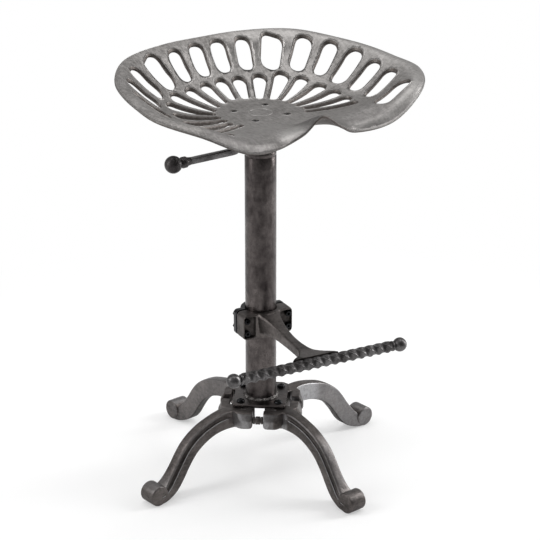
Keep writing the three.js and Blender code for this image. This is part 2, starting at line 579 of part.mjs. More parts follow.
place(
  "piston_rod",
  turned([
    [0, rodFoot],
    [ROD_RADIUS, rodFoot],
    [ROD_RADIUS, PLATE_TOP + GAP],
    [ROD_COLLAR_RADIUS, PLATE_TOP + GAP],
    [ROD_COLLAR_RADIUS, PLATE_TOP + GAP + ROD_COLLAR_HEIGHT],
    [ROD_RADIUS, PLATE_TOP + GAP + ROD_COLLAR_HEIGHT],
    [ROD_RADIUS, ROD_TOP - PISTON_HEIGHT],
    [bore - GAP, ROD_TOP - PISTON_HEIGHT],
    [bore - GAP, ROD_TOP],
    [0, ROD_TOP],
  ]),
  "bright",
);
const clipTop = PLATE_TOP - PLATE_THICK - GAP;
place(
  "rod_clip",
  turned([
    [ROD_RADIUS + GAP, clipTop - CLIP_THICK],
    [CLIP_RADIUS, clipTop - CLIP_THICK],
    [CLIP_RADIUS, clipTop],
    [ROD_RADIUS + GAP, clipTop],
  ]),
  "bright",
);

// Column tube with a groove under its top, the dark ring that caps it and the guide bush inside.
const tubeFoot = PLATE_TOP + GAP;
const grooveTop = tubeTop - TUBE_GROOVE_DROP;
const tubeBore = TUBE_RADIUS - TUBE_WALL;
place(
  "column_tube",
  turned([
    [tubeBore, tubeFoot],
    [TUBE_RADIUS, tubeFoot],
    [TUBE_RADIUS, grooveTop - TUBE_GROOVE_WIDTH],
    [TUBE_RADIUS - TUBE_GROOVE_DEPTH, grooveTop - TUBE_GROOVE_WIDTH],
    [TUBE_RADIUS - TUBE_GROOVE_DEPTH, grooveTop],
    [TUBE_RADIUS, grooveTop],
    [TUBE_RADIUS, tubeTop],
    [tubeBore, tubeTop],
  ], 32),
  "column",
);
const ringFoot = tubeTop + GAP;
place(
  "column_ring",
  turned([
    [LIFT_RADIUS + 2 * GAP, ringFoot],
    [RING_RADIUS - RING_EDGE, ringFoot],
    [RING_RADIUS, ringFoot + RING_EDGE],
    [RING_RADIUS, ringFoot + RING_HEIGHT - RING_EDGE],
    [RING_RADIUS - RING_EDGE, ringFoot + RING_HEIGHT],
    [LIFT_RADIUS + 2 * GAP, ringFoot + RING_HEIGHT],
  ], 28),
  "plastic",
);
place(
  "guide_bush",
  turned([
    [LIFT_RADIUS + GAP, tubeTop - BUSH_LENGTH],
    [tubeBore - GAP, tubeTop - BUSH_LENGTH],
    [tubeBore - GAP, tubeTop],
    [LIFT_RADIUS + GAP, tubeTop],
  ]),
  "plastic",
);
place(
  "weld_bead",
  turned([
    [TUBE_RADIUS + GAP, PLATE_TOP + GAP],
    [TUBE_RADIUS + WELD_LEG, PLATE_TOP + GAP],
    [TUBE_RADIUS + WELD_LEG * 0.55, PLATE_TOP + WELD_LEG * 0.6],
    [TUBE_RADIUS + GAP, PLATE_TOP + WELD_LEG],
  ], 24),
  "column",
);

// Base plate, its corners over the legs, and one button-head bolt into each leg.
const side = PLATE_SIDE / 2;
const legStep = 360 / LEG_COUNT;
let plate = prism(
  rounded(corners.map(([x, y]) => [x * side, y * side, PLATE_CORNER])),
  PLATE_TOP - PLATE_THICK,
  PLATE_TOP,
).rotate([0, 0, legStep / 2]);
plate = plate.subtract(rod(plateBore, PLATE_TOP - 2 * PLATE_THICK, PLATE_TOP + PLATE_THICK));
const plateBolt = turned([
  [0, PLATE_TOP - PLATE_BOLT_LENGTH],
  [PLATE_BOLT_RADIUS, PLATE_TOP - PLATE_BOLT_LENGTH],
  [PLATE_BOLT_RADIUS, PLATE_TOP + GAP],
  [PLATE_BOLT_HEAD_RADIUS, PLATE_TOP + GAP],
  [PLATE_BOLT_HEAD_RADIUS, PLATE_TOP + PLATE_BOLT_HEAD_HEIGHT * 0.25],
  [PLATE_BOLT_HEAD_RADIUS * 0.8, PLATE_TOP + PLATE_BOLT_HEAD_HEIGHT * 0.75],
  [PLATE_BOLT_HEAD_RADIUS * 0.5, PLATE_TOP + PLATE_BOLT_HEAD_HEIGHT],
  [0, PLATE_TOP + PLATE_BOLT_HEAD_HEIGHT],
], 14).subtract(
  hexagon(PLATE_BOLT_KEY, PLATE_TOP + PLATE_BOLT_HEAD_HEIGHT * 0.3, PLATE_TOP + 2 * PLATE_BOLT_HEAD_HEIGHT),
);

// One leg along +X: skinned S with a groove on each side, scroll foot, hub block and the two lugs.
const legRings = outerReachShare.map((reach, i) => {
  const outer = [FOOT_REACH * reach, HUB_HEIGHT * outerRiseShare[i]];
  const inner = [FOOT_REACH * innerReachShare[i], HUB_HEIGHT * innerRiseShare[i]];
  const w = LEG_HALF_WIDTH * legWidthShare[i];
  const deep = i > 1 && i < 12 ? PANEL_DEPTH : PANEL_DEPTH * 0.3;
  const section = [[0, 0.86], [0.1, 1], [0.62, 1], [0.67, 1 - deep / w], [0.83, 1 - deep / w], [0.88, 1], [1, 0.8]];
  const both = [...section, ...section.map(([n, s]) => [n, -s]).reverse()];
  return both.map(([n, s]) => [inner[0] + (outer[0] - inner[0]) * n, w * s, inner[1] + (outer[1] - inner[1]) * n]);
});
let leg = skinned(legRings);
leg = leg.add(
  turned([
    [0, -SCROLL_HALF_WIDTH],
    [SCROLL_RADIUS - SCROLL_EDGE, -SCROLL_HALF_WIDTH],
    [SCROLL_RADIUS, -SCROLL_HALF_WIDTH + SCROLL_EDGE],
    [SCROLL_RADIUS, SCROLL_HALF_WIDTH - SCROLL_EDGE],
    [SCROLL_RADIUS - SCROLL_EDGE, SCROLL_HALF_WIDTH],
    [0, SCROLL_HALF_WIDTH],
  ])
    .rotate([90, 0, 0])
    .translate([FOOT_REACH, 0, SCROLL_RADIUS - FOOT_FLAT]),
);
const hubTop = PLATE_TOP - PLATE_THICK - GAP;
const hubFoot = HUB_HEIGHT * innerRiseShare[0];
leg = leg.add(block(HUB_INNER, FOOT_REACH * outerReachShare[0] + 2 * BURIED, -HUB_HALF_WIDTH, HUB_HALF_WIDTH, hubFoot, hubTop));
for (const s of [1, -1]) {
  // Lug in the frame of the mid plane between two legs: X outwards, Y towards this leg.
  const plan = prism(
    [
      [LUG_INNER, LUG_NEAR],
      [LUG_OUTER, LUG_NEAR],
      [LUG_OUTER, LUG_NEAR + LUG_WIDTH],
      [LUG_ROOT_REACH, LUG_NEAR + LUG_ROOT_WIDTH],
      [LUG_INNER, LUG_NEAR + LUG_ROOT_WIDTH],
    ],
    LUG_FOOT,
    hubTop,
  );
  const tongue = prism(
    rounded([
      [LUG_INNER, hubTop, 0],
      [LUG_INNER, TIE_HEIGHT, LUG_ROUND],
      [LUG_RADIUS, LUG_FOOT, LUG_ROUND / 3],
      [LUG_OUTER, LUG_FOOT, LUG_ROUND],
      [LUG_OUTER, TIE_HEIGHT, LUG_ROUND],
      [LUG_SHOULDER, hubTop, 0],
    ], 2),
    -LUG_NEAR - 2 * LUG_ROOT_WIDTH,
    0,
  ).rotate([90, 0, 0]);
  const face = prism(
    rounded([
      [LUG_NEAR, LUG_FOOT, LUG_ROUND],
      [LUG_NEAR + LUG_ROOT_WIDTH, LUG_FOOT, LUG_ROUND],
      [LUG_NEAR + LUG_ROOT_WIDTH, hubTop, 0],
      [LUG_NEAR, hubTop, 0],
    ], 2),
    0,
    2 * LUG_OUTER,
  ).rotate([90, 0, 90]);
  const lug = plan.intersect(tongue).intersect(face);
  const bored = lug.subtract(
    rod(TIE_RADIUS + GAP, 0, LUG_NEAR + TIE_REACH + GAP, 12).rotate([-90, 0, 0]).translate([LUG_RADIUS, 0, TIE_HEIGHT]),
  );
  leg = leg.add(s > 0 ? bored.rotate([0, 0, -legStep / 2]) : bored.mirror([0, 1, 0]).rotate([0, 0, legStep / 2]));
}
leg = leg
  .subtract(block(0, 2 * FOOT_REACH, -FOOT_REACH, FOOT_REACH, -HUB_HEIGHT, 0))
  .subtract(
    block(-PLATE_SIDE, PLATE_SIDE, -PLATE_SIDE, PLATE_SIDE, 0, HUB_HEIGHT)
      .intersect(
        prism(
          rounded(corners.map(([x, y]) => [x * (side + GAP), y * (side + GAP), PLATE_CORNER])),
          hubTop,
          2 * HUB_HEIGHT,
        ).rotate([0, 0, legStep / 2]),
      ),
  )
  .subtract(rod(PLATE_BOLT_RADIUS + GAP, PLATE_TOP - PLATE_BOLT_LENGTH - GAP, 2 * PLATE_TOP).translate([PLATE_BOLT_RADIUS_OUT, 0, 0]));
const tie = rod(TIE_RADIUS, -LUG_NEAR - TIE_REACH, LUG_NEAR + TIE_REACH, 14)
  .add(hexagon(TIE_NUT_WIDTH, -TIE_NUT_LENGTH / 2, TIE_NUT_LENGTH / 2))
  .rotate([90, 0, 0])
  .translate([LUG_RADIUS, 0, TIE_HEIGHT]);
for (let k = 0; k < LEG_COUNT; k++) {
  const turn = LEG_TURN + legStep * k;
  place("leg_" + (k + 1), leg, "iron", turn);
  place("tie_bolt_" + (k + 1), tie, "iron", turn + legStep / 2);
  const at = [PLATE_BOLT_RADIUS_OUT * Math.cos(rad(legStep * k)), PLATE_BOLT_RADIUS_OUT * Math.sin(rad(legStep * k)), 0];
  plate = plate.subtract(rod(PLATE_BOLT_RADIUS + GAP, PLATE_TOP - 2 * PLATE_THICK, PLATE_TOP + PLATE_THICK).translate(at));
  place("base_bolt_" + (k + 1), plateBolt.translate([PLATE_BOLT_RADIUS_OUT, 0, 0]), "black", turn);
}
place("base_plate", plate, "column", LEG_TURN);

// Footrest clamp: front casting with the arm, back half, four bolts with nuts.
const clampFoot = CLAMP_MIDDLE - CLAMP_HEIGHT / 2;
const clampTop = CLAMP_MIDDLE + CLAMP_HEIGHT / 2;
const pipe = rod(TUBE_RADIUS + GAP, clampFoot - CLAMP_HEIGHT, clampTop + CLAMP_HEIGHT, 32);
// Block with rounded corners as seen from the front, between two depths.
function ear(depth0, depth1, w, round) {
  const h = CLAMP_HEIGHT / 2;
  return prism(rounded(corners.map(([x, y]) => [x * w, y * h, round])), depth0, depth1)
    .rotate([90, 0, 0])
    .translate([0, 0, CLAMP_MIDDLE]);
}
let front = ear(CLAMP_SPLIT, CLAMP_FRONT_DEPTH, CLAMP_HALF_WIDTH, CLAMP_EDGE);
const pocketFoot = clampFoot + CLAMP_POCKET_EDGE;
const pocketTop = clampTop - CLAMP_POCKET_EDGE;
const pocketSide = CLAMP_BOLT_X + CLAMP_HEAD_RADIUS + GAP;
for (const [x0, x1] of [[-pocketSide, -CLAMP_BOSS_RADIUS * 0.7], [CLAMP_BOSS_RADIUS * 0.7, pocketSide]])
  front = front.subtract(block(x0, x1, -2 * CLAMP_FRONT_DEPTH, CLAMP_POCKET - CLAMP_FRONT_DEPTH, pocketFoot, pocketTop));
front = front.add(
  rod(CLAMP_BOSS_RADIUS, clampFoot, clampTop, 28).subtract(
    block(-2 * CLAMP_BOSS_RADIUS, 2 * CLAMP_BOSS_RADIUS, -CLAMP_SPLIT, 2 * CLAMP_BOSS_RADIUS, 0, 2 * clampTop),
  ),
);
const armRings = armReachShare.map((reach, i) => {
  const y = -(BAR_FORWARD - BAR_HALF_FLAT - GAP * 4) * reach;
  const z = CLAMP_MIDDLE + CLAMP_HEIGHT * armLevelShare[i];
  const h = CLAMP_HEIGHT * armDepthShare[i];
  const w = CLAMP_HEIGHT * armWidthShare[i];
  return [[1, 0.55], [0.55, 1], [-0.5, 1], [-1, 0.6], [-1, -0.6], [-0.5, -1], [0.55, -1], [1, -0.55]].map(([v, u]) => [w * u, y, z + h * v]);
});
front = front.add(skinned(armRings)).subtract(pipe);
let back = ear(-CLAMP_BACK_DEPTH, -CLAMP_SPLIT, CLAMP_HALF_WIDTH, CLAMP_EDGE).add(
  rod(CLAMP_BACK_RADIUS, clampFoot, clampTop, 28).subtract(
    block(-2 * CLAMP_BOSS_RADIUS, 2 * CLAMP_BOSS_RADIUS, -2 * CLAMP_BOSS_RADIUS, CLAMP_SPLIT, 0, 2 * clampTop),
  ),
);
back = back.subtract(pipe);
const seatFace = CLAMP_FRONT_DEPTH - CLAMP_POCKET + GAP; // bolt heads sit in the pockets
const nutFace = -CLAMP_BACK_DEPTH - GAP;
const clampBolt = turned([
  [0, nutFace - CLAMP_NUT_HEIGHT - CLAMP_TAIL],
  [CLAMP_BOLT_RADIUS, nutFace - CLAMP_NUT_HEIGHT - CLAMP_TAIL],
  [CLAMP_BOLT_RADIUS, seatFace],
  [CLAMP_HEAD_RADIUS, seatFace],
  [CLAMP_HEAD_RADIUS, seatFace + CLAMP_HEAD_HEIGHT * 0.85],
  [CLAMP_HEAD_RADIUS * 0.88, seatFace + CLAMP_HEAD_HEIGHT],
  [0, seatFace + CLAMP_HEAD_HEIGHT],
], 16).subtract(hexagon(CLAMP_KEY, seatFace + CLAMP_HEAD_HEIGHT * 0.4, seatFace + 2 * CLAMP_HEAD_HEIGHT));
const clampNut = hexagon(CLAMP_NUT_WIDTH, nutFace - CLAMP_NUT_HEIGHT, nutFace).subtract(
  rod(CLAMP_BOLT_RADIUS + GAP, nutFace - 2 * CLAMP_NUT_HEIGHT, nutFace + BURIED),
);
const clampHole = rod(CLAMP_BOLT_RADIUS + GAP, -2 * CLAMP_FRONT_DEPTH, 2 * CLAMP_FRONT_DEPTH);
corners.forEach(([x, y], i) => {
  const at = [x * CLAMP_BOLT_X, 0, CLAMP_MIDDLE + (y * CLAMP_BOLT_SPACING) / 2];
  const hole = clampHole.rotate([90, 0, 0]).translate(at);
  front = front.subtract(hole);
  back = back.subtract(hole);
  place("clamp_bolt_" + (i + 1), clampBolt.rotate([90, 0, 0]).translate(at), "black", REST_TURN);
  place("clamp_nut_" + (i + 1), clampNut.rotate([90, 0, 0]).translate(at), "black", REST_TURN);
});

// Twisted bar in the fork of the arm, with a screwed ball at each end.
const barHeight = CLAMP_MIDDLE - BAR_DROP;
const barSteps = 52;
const barRings = [];
const quarter = rounded(corners.map(([x, y]) => [x * BAR_HALF_FLAT, y * BAR_HALF_FLAT, BAR_ROUND]), 1);
for (let i = 0; i <= barSteps; i++) {
  const x = -BAR_HALF_LENGTH + (2 * BAR_HALF_LENGTH * i) / barSteps;
  const t = (2 * Math.PI * x) / BAR_TWIST_LENGTH;
  barRings.push(quarter.map(([u, v]) => [x, u * Math.cos(t) - v * Math.sin(t), u * Math.sin(t) + v * Math.cos(t)]));
}
let twisted = skinned(barRings).add(rod(BAR_TENON_RADIUS, -BAR_HALF_LENGTH - BAR_TENON_LENGTH, BAR_HALF_LENGTH + BAR_TENON_LENGTH, 12).rotate([0, 90, 0]));
twisted = twisted.translate([0, -BAR_FORWARD, barHeight]);
const forkBore = (BAR_HALF_FLAT - BAR_ROUND) * Math.SQRT2 + BAR_ROUND + GAP;
front = front.subtract(
  rod(forkBore, -2 * BAR_HALF_LENGTH, 2 * BAR_HALF_LENGTH, 16).rotate([0, 90, 0]).translate([0, -BAR_FORWARD, barHeight]),
);
place("clamp_front", front, "iron", REST_TURN);
place("clamp_back", back, "black", REST_TURN);
place("footrest_bar", twisted, "iron", REST_TURN);
const ballCentre = BAR_HALF_LENGTH + BALL_COLLAR_WIDTH + BALL_NECK_WIDTH + BALL_RADIUS;
const barBall = ballEnd(
  BALL_RADIUS, BALL_NECK_RADIUS, BALL_NECK_WIDTH, BALL_COLLAR_RADIUS, BALL_COLLAR_WIDTH, BAR_TENON_RADIUS, BAR_TENON_LENGTH,
);
place("footrest_ball_left", barBall.rotate([0, 90, 0]).translate([-ballCentre, -BAR_FORWARD, barHeight]), "iron", REST_TURN);
place("footrest_ball_right", barBall.rotate([0, -90, 0]).translate([ballCentre, -BAR_FORWARD, barHeight]), "iron", REST_TURN);

export default stool;
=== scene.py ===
from math import acos, asin, atan2, cos, pi, radians, sin, sqrt, tan

import bmesh
import bpy
import numpy as np
from mathutils import Matrix, Vector
from mathutils.geometry import delaunay_2d_cdt


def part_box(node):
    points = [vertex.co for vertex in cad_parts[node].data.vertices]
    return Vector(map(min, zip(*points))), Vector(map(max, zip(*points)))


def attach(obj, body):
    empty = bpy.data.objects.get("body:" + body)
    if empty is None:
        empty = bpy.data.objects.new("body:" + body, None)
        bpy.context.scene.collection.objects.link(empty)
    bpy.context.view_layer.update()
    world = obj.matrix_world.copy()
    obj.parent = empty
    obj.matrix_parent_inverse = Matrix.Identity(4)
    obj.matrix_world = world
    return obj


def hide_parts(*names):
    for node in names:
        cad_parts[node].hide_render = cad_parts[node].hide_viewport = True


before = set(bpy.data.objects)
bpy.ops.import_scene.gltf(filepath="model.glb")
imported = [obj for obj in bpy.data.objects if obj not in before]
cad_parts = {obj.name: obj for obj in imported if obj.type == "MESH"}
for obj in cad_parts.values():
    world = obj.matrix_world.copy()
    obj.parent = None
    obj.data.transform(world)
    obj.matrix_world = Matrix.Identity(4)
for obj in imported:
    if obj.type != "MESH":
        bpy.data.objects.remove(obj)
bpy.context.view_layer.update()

# Legs: four like iron castings, each an S with a scroll for a foot, a hub block under the plate and two lugs for the
# tie bolts. On the front pair a groove and a thin raised bead follow each side. Brushed dark and lacquered.
LEG_TURN = 5.4
FOOT_REACH = 225.6
HUB_HEIGHT = 122.5
LEG_HALF = 9
OUTER_REACH = [0.279, 0.36, 0.437, 0.514, 0.586, 0.662, 0.73, 0.784, 0.829, 0.865, 0.896, 0.923, 0.95, 0.977, 1]
OUTER_RISE = [0.965, 0.975, 0.958, 0.922, 0.876, 0.8, 0.7, 0.58, 0.457, 0.367, 0.294, 0.237, 0.196, 0.18, 0.163]
INNER_REACH = [0.27, 0.351, 0.414, 0.468, 0.523, 0.577, 0.631, 0.676, 0.716, 0.748, 0.784, 0.829, 0.883, 0.937, 1]
INNER_RISE = [0.718, 0.722, 0.714, 0.694, 0.657, 0.604, 0.531, 0.437, 0.335, 0.245, 0.163, 0.09, 0.041, 0.013, 0.004]
LEG_WIDTH = [1.3, 1.12, 1.03, 1, 1, 1, 1, 1, 1, 1.03, 1.12, 1.3, 1.5, 1.68, 1.74]
SCROLL_RADIUS = 17
SCROLL_HALF = 16
PLATE_TOP = 125
PLATE_THICK = 6
HUB_TOP = PLATE_TOP - PLATE_THICK - 0.3


def solid(points, faces):
    """One closed shape in millimetres with its faces outwards."""
    made = bmesh.new()
    corners = [made.verts.new(p) for p in points]
    for face in faces:
        made.faces.new([corners[i] for i in face])
    bmesh.ops.remove_doubles(made, verts=made.verts[:], dist=1e-4)
    bmesh.ops.recalc_face_normals(made, faces=made.faces[:])
    return made


def skin(rings, looped=False):
    """A shape skinned over rings of points, closed at its ends or joined round."""
    n = len(rings[0])
    points = [p for ring in rings for p in ring]
    last = len(rings) if looped else len(rings) - 1
    faces = []
    for i in range(last):
        a, b = i * n, (i + 1) % len(rings) * n
        faces += [(a + j, a + (j + 1) % n, b + (j + 1) % n, b + j) for j in range(n)]
    if not looped:
        faces += [tuple(range(n)), tuple(reversed(range((len(rings) - 1) * n, len(rings) * n)))]
    return solid(points, faces)


def turned(profile, steps=48):
    """A turned shape from radius and height pairs, up the outside; a bore closes the profile down the inside."""
    turns = [2 * pi * k / steps for k in range(steps)]
    points, rows, faces = [], [], []
    for r, z in profile:
        if r < 1e-6:
            rows.append([len(points)] * steps)
            points.append((0, 0, z))
        else:
            rows.append(list(range(len(points), len(points) + steps)))
            points += [(r * cos(t), r * sin(t), z) for t in turns]
    pairs = list(zip(rows, rows[1:]))
    if profile[0][0] > 1e-6:
        pairs.append((rows[-1], rows[0]))
    for a, b in pairs:
        for k in range(steps):
            m = (k + 1) % steps
            face = list(dict.fromkeys([a[k], a[m], b[m], b[k]]))
            if len(face) > 2:
                faces.append(face)
    return solid(points, faces)


def upright(outline, z0, z1):
    """A straight shape with a flat outline from one height to another."""
    return skin([[(x, y, z) for x, y in outline] for z in (z0, z1)])


def rounded(corners, steps=5):
    """Outline with its corners rounded; each corner is x, y and a radius."""
    out = []
    for i, (x, y, r) in enumerate(corners):
        here = Vector((x, y))
        a = (Vector(corners[i - 1][:2]) - here).normalized()
        b = (Vector(corners[(i + 1) % len(corners)][:2]) - here).normalized()
        if r <= 0:
            out.append((x, y))
            continue
        half = acos(max(-1, min(1, a.dot(b)))) / 2
        centre = here + (a + b).normalized() * (r / sin(half))
        start = here + a * (r / tan(half)) - centre
        end = here + b * (r / tan(half)) - centre
        t0, t1 = atan2(start.y, start.x), atan2(end.y, end.x)
        sweep = (t1 - t0 + pi) % (2 * pi) - pi
        for k in range(steps + 1):
            t = t0 + sweep * k / steps
            out.append((centre.x + r * cos(t), centre.y + r * sin(t)))
    return out


def moved(made, *steps):
    """The shape after turns ("X", degrees) and shifts (x, y, z)."""
    for step in steps:
        if isinstance(step[0], str):
            matrix = Matrix.Rotation(radians(step[1]), 4, step[0])
        else:
            matrix = Matrix.Translation(step)
        made.transform(matrix)
    return made


def placed(name, data):
    """The mesh, lamp or camera as an object of the scene."""
    made = bpy.data.objects.new(name, data)
    bpy.context.scene.collection.objects.link(made)
    return made


def piece_of(name, *shapes, smooth_below=35):
    """A piece in metres that holds these shapes."""
    mesh = bpy.data.meshes.new(name)
    whole = bmesh.new()
    for made in shapes:
        part = bpy.data.meshes.new("part")
        made.to_mesh(part)
        made.free()
        whole.from_mesh(part)
        bpy.data.meshes.remove(part)
    whole.transform(Matrix.Scale(0.001, 4))
    whole.to_mesh(mesh)
    whole.free()
    mesh.shade_smooth()
    mesh.set_sharp_from_angle(angle=radians(smooth_below))
    return placed(name, mesh)


def settled(piece):
    """The piece with what its modifiers make as its plain mesh."""
    graph = bpy.context.evaluated_depsgraph_get()
    mesh = bpy.data.meshes.new_from_object(piece.evaluated_get(graph), depsgraph=graph)
    piece.modifiers.clear()
    piece.data = mesh
    return piece


def step(piece, kind, **settings):
    """The piece gets one more modifier, with its settings."""
    made = piece.modifiers.new(kind, kind)
    for title, setting in settings.items():
        setattr(made, title, setting)


def cast(name, shapes, cuts=(), grain=1.2, rounds=4):
    """Shapes run into one casting with soft inner and outer corners; the cuts are taken out of it before that."""
    piece = piece_of(name, *shapes)
    voxels = {"mode": "VOXEL", "voxel_size": grain / 1000}
    if cuts:
        cutter = piece_of("cut", *cuts)
        step(cutter, "REMESH", **voxels)
        step(piece, "REMESH", **voxels)
        step(piece, "BOOLEAN", operation="DIFFERENCE", solver="MANIFOLD", object=cutter)
    step(piece, "REMESH", **voxels)
    step(piece, "SMOOTH", factor=0.5, iterations=rounds)
    settled(piece)
    if cuts:
        bpy.data.objects.remove(cutter)
    piece.data.materials.clear()
    piece.data.shade_smooth()
    return piece


def block_of(piece):
    """The piece's shape in millimetres, loose again; the piece itself goes."""
    made = bmesh.new()
    made.from_mesh(piece.data)
    made.transform(Matrix.Scale(1000, 4))
    bpy.data.objects.remove(piece)
    return made


def read_points(piece, kind="co"):
    """The places of the piece's points, or their normals, one row each."""
    values = np.empty(len(piece.data.vertices) * 3)
    piece.data.vertices.foreach_get(kind, values)
    return values.reshape(-1, 3)


def marked(mesh, title, values):
    """The mesh keeps one number for each of its points, which its metal reads as a mark."""
    mesh.attributes.new(title, "FLOAT", "POINT").data.foreach_set("value", np.asarray(values, np.float32))


def added(tree, kind, *values, give=0, settings=(), **sockets):
    """Output of a new node. Its inputs come by place and by name, each a value or the output of another node. A kind
    of node that belongs to this kind of tree goes by its short name."""
    node = tree.nodes.new(kind if "Node" in kind else tree.bl_idname.removesuffix("Tree") + kind)
    for title, setting in dict(settings).items():
        setattr(node, title, setting)
    for place, value in [*enumerate(values), *((title.replace("_", " "), v) for title, v in sockets.items())]:
        if isinstance(value, bpy.types.NodeSocket):
            tree.links.new(value, node.inputs[place])
        elif value is not None:
            node.inputs[place].default_value = value
    return node.outputs[give]


def maths(tree, operation, *values):
    return added(tree, "ShaderNodeMath", *values, settings={"operation": operation})


def metal(
    name, colour, dark, rough, metallic=1.0, specular=0.5, mottle=14, grain=420, bump=0.25, brush=0,
    strokes=((3, 1, 1), (1, 4, 1.5)), marks=(),
):
    """Bare or lacquered metal: cloudy colour from handling, streaks from the brush, a fine grain, small pits and soft
    bumps. Each mark is an attribute of the mesh with the colour and the roughness that it brings."""
    made = bpy.data.materials.new(name)
    made.use_nodes = True
    tree = made.node_tree
    shader = tree.nodes["Principled BSDF"]
    shader.inputs["Metallic"].default_value = metallic
    shader.inputs["Specular IOR Level"].default_value = specular
    place = added(tree, "TexCoord", give="Object")

    def noise(scale, detail, roughness, stretch=None):
        where = added(tree, "Mapping", place, Scale=stretch, Rotation=(0, 0, 0.6)) if stretch else place
        return added(tree, "TexNoise", Vector=where, Scale=scale, Detail=detail, Roughness=roughness)

    def mapped(*span):
        return added(tree, "MapRange", *span)

    def mixed(factor, a, b):
        if isinstance(b, float):
            return added(tree, "Mix", factor, None, a, b, settings={"data_type": "FLOAT"})
        a, b = ((*c, 1) if isinstance(c, tuple) else c for c in (a, b))
        return added(tree, "Mix", factor, *[None] * 5, a, b, give=2, settings={"data_type": "RGBA"})

    clouds = noise(mottle, 5, 0.6)
    fine = noise(grain, 3, 0.55)
    tone = mixed(mapped(clouds, 0.35, 0.65, 0, 1), dark, colour)
    tone = mixed(mapped(fine, 0.3, 0.52, 0.45, 0), tone, tuple(c * 0.62 for c in dark))
    roughness = mapped(clouds, 0.3, 0.7, rough + 0.08, rough - 0.06)
    for pull, share in zip(strokes if brush else (), (brush, brush * 0.7)):
        streaks = noise(90, 4, 0.65, pull)
        tone = mixed(mapped(streaks, 0.42, 0.72, 0, share), tone, tuple(min(1, c * 1.9) for c in colour))
        tone = mixed(mapped(streaks, 0.5, 0.26, 0, share), tone, tuple(c * 0.5 for c in dark))
    broken = mapped(noise(210, 4, 0.7), 0.36, 0.58, 0.62, 1) if marks else None
    for title, mark_colour, mark_rough in marks:
        amount = added(tree, "Attribute", give="Fac", settings={"attribute_name": title})
        amount = maths(tree, "MULTIPLY", amount, broken)
        tone = mixed(amount, tone, mark_colour)
        roughness = mixed(amount, roughness, mark_rough)
    swell = added(tree, "Bump", Strength=bump, Distance=0.002, Height=noise(mottle * 5, 3, 0.5))
    relief = added(tree, "Bump", Strength=bump, Distance=0.0006, Height=fine, Normal=swell)
    for socket, value in (("Base Color", tone), ("Roughness", roughness), ("Normal", relief)):
        tree.links.new(value, shader.inputs[socket])
    return made


def grown(piece, title, finish, inputs, build):
    """The piece as its own tree of geometry nodes makes it; each named input has a kind and a value."""
    tree = bpy.data.node_groups.new(title, "GeometryNodeTree")
    inputs = {**inputs, "Finish": ("Material", finish)}
    tree.interface.new_socket("Geometry", in_out="INPUT", socket_type="NodeSocketGeometry")
    keys = {
        name: tree.interface.new_socket(name, in_out="INPUT", socket_type="NodeSocket" + kind).identifier
        for name, (kind, _) in inputs.items()
    }
    tree.interface.new_socket("Geometry", in_out="OUTPUT", socket_type="NodeSocketGeometry")
    given = tree.nodes.new("NodeGroupInput").outputs
    real = added(tree, "RealizeInstances", build(tree, given))
    coat = added(tree, "SetMaterial", real, Material=given["Finish"])
    tree.links.new(coat, tree.nodes.new("NodeGroupOutput").inputs[0])
    nodes = piece.modifiers.new(title, "NODES")
    nodes.node_group = tree
    for name, (_, value) in inputs.items():
        nodes[keys[name]] = value
    return settled(piece)


def ring_of(piece, finish, count, first_turn=0.0, sweep=360):
    """Like copies of the piece spaced round an upright axis."""

    def copies(tree, given):
        points = added(tree, "Points", given["Count"])
        share = maths(tree, "DIVIDE", added(tree, "InputIndex"), given["Count"])
        turn = maths(tree, "MULTIPLY_ADD", share, given["Sweep"], given["First Turn"])
        spin = added(tree, "FunctionNodeEulerToRotation", added(tree, "ShaderNodeCombineXYZ", Z=turn))
        return added(tree, "InstanceOnPoints", points, Instance=given["Geometry"], Rotation=spin)

    return grown(piece, piece.name + " round the axis", finish, {
        "Count": ("Int", count), "First Turn": ("Float", radians(first_turn)), "Sweep": ("Float", radians(sweep)),
    }, copies)


def fitted(piece, finish, body, slot, *nodes):
    """The piece takes its finish, rides on its body and stands for these CAD nodes."""
    if not piece.data.materials:
        piece.data.materials.append(finish)
    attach(piece, body)
    if nodes:
        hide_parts(*nodes)
    return piece


def curve(knots, values, slope, x):
    """Smooth curve with these values and slopes at its knots."""
    i = np.clip(np.searchsorted(knots, x, side="right") - 1, 0, len(knots) - 2)
    h = knots[i + 1] - knots[i]
    t = np.clip((x - knots[i]) / h, 0, 1)
    return (
        values[i] * (1 + 2 * t) * (1 - t) ** 2 + values[i + 1] * t * t * (3 - 2 * t)
        + h * slope[i] * t * (1 - t) ** 2 - h * slope[i + 1] * t * t * (1 - t)
    )


def through(values, count):
    """Smooth curve through evenly spaced values, read at count places."""
    values = np.asarray(values, float)
    last = len(values) - 1
    return curve(np.arange(last + 1.0), values, np.gradient(values), np.linspace(0, last, count))


def ramp(low, high, x):
    """Nothing below low, whole above high, soft between them."""
    t = np.clip((np.asarray(x, float) - low) / (high - low), 0, 1)
    return t * t * (3 - 2 * t)


def band(low, full, fading, gone, x):
    """Nothing below low, whole from full to fading, nothing above gone."""
    return ramp(low, full, x) * (1 - ramp(fading, gone, x))
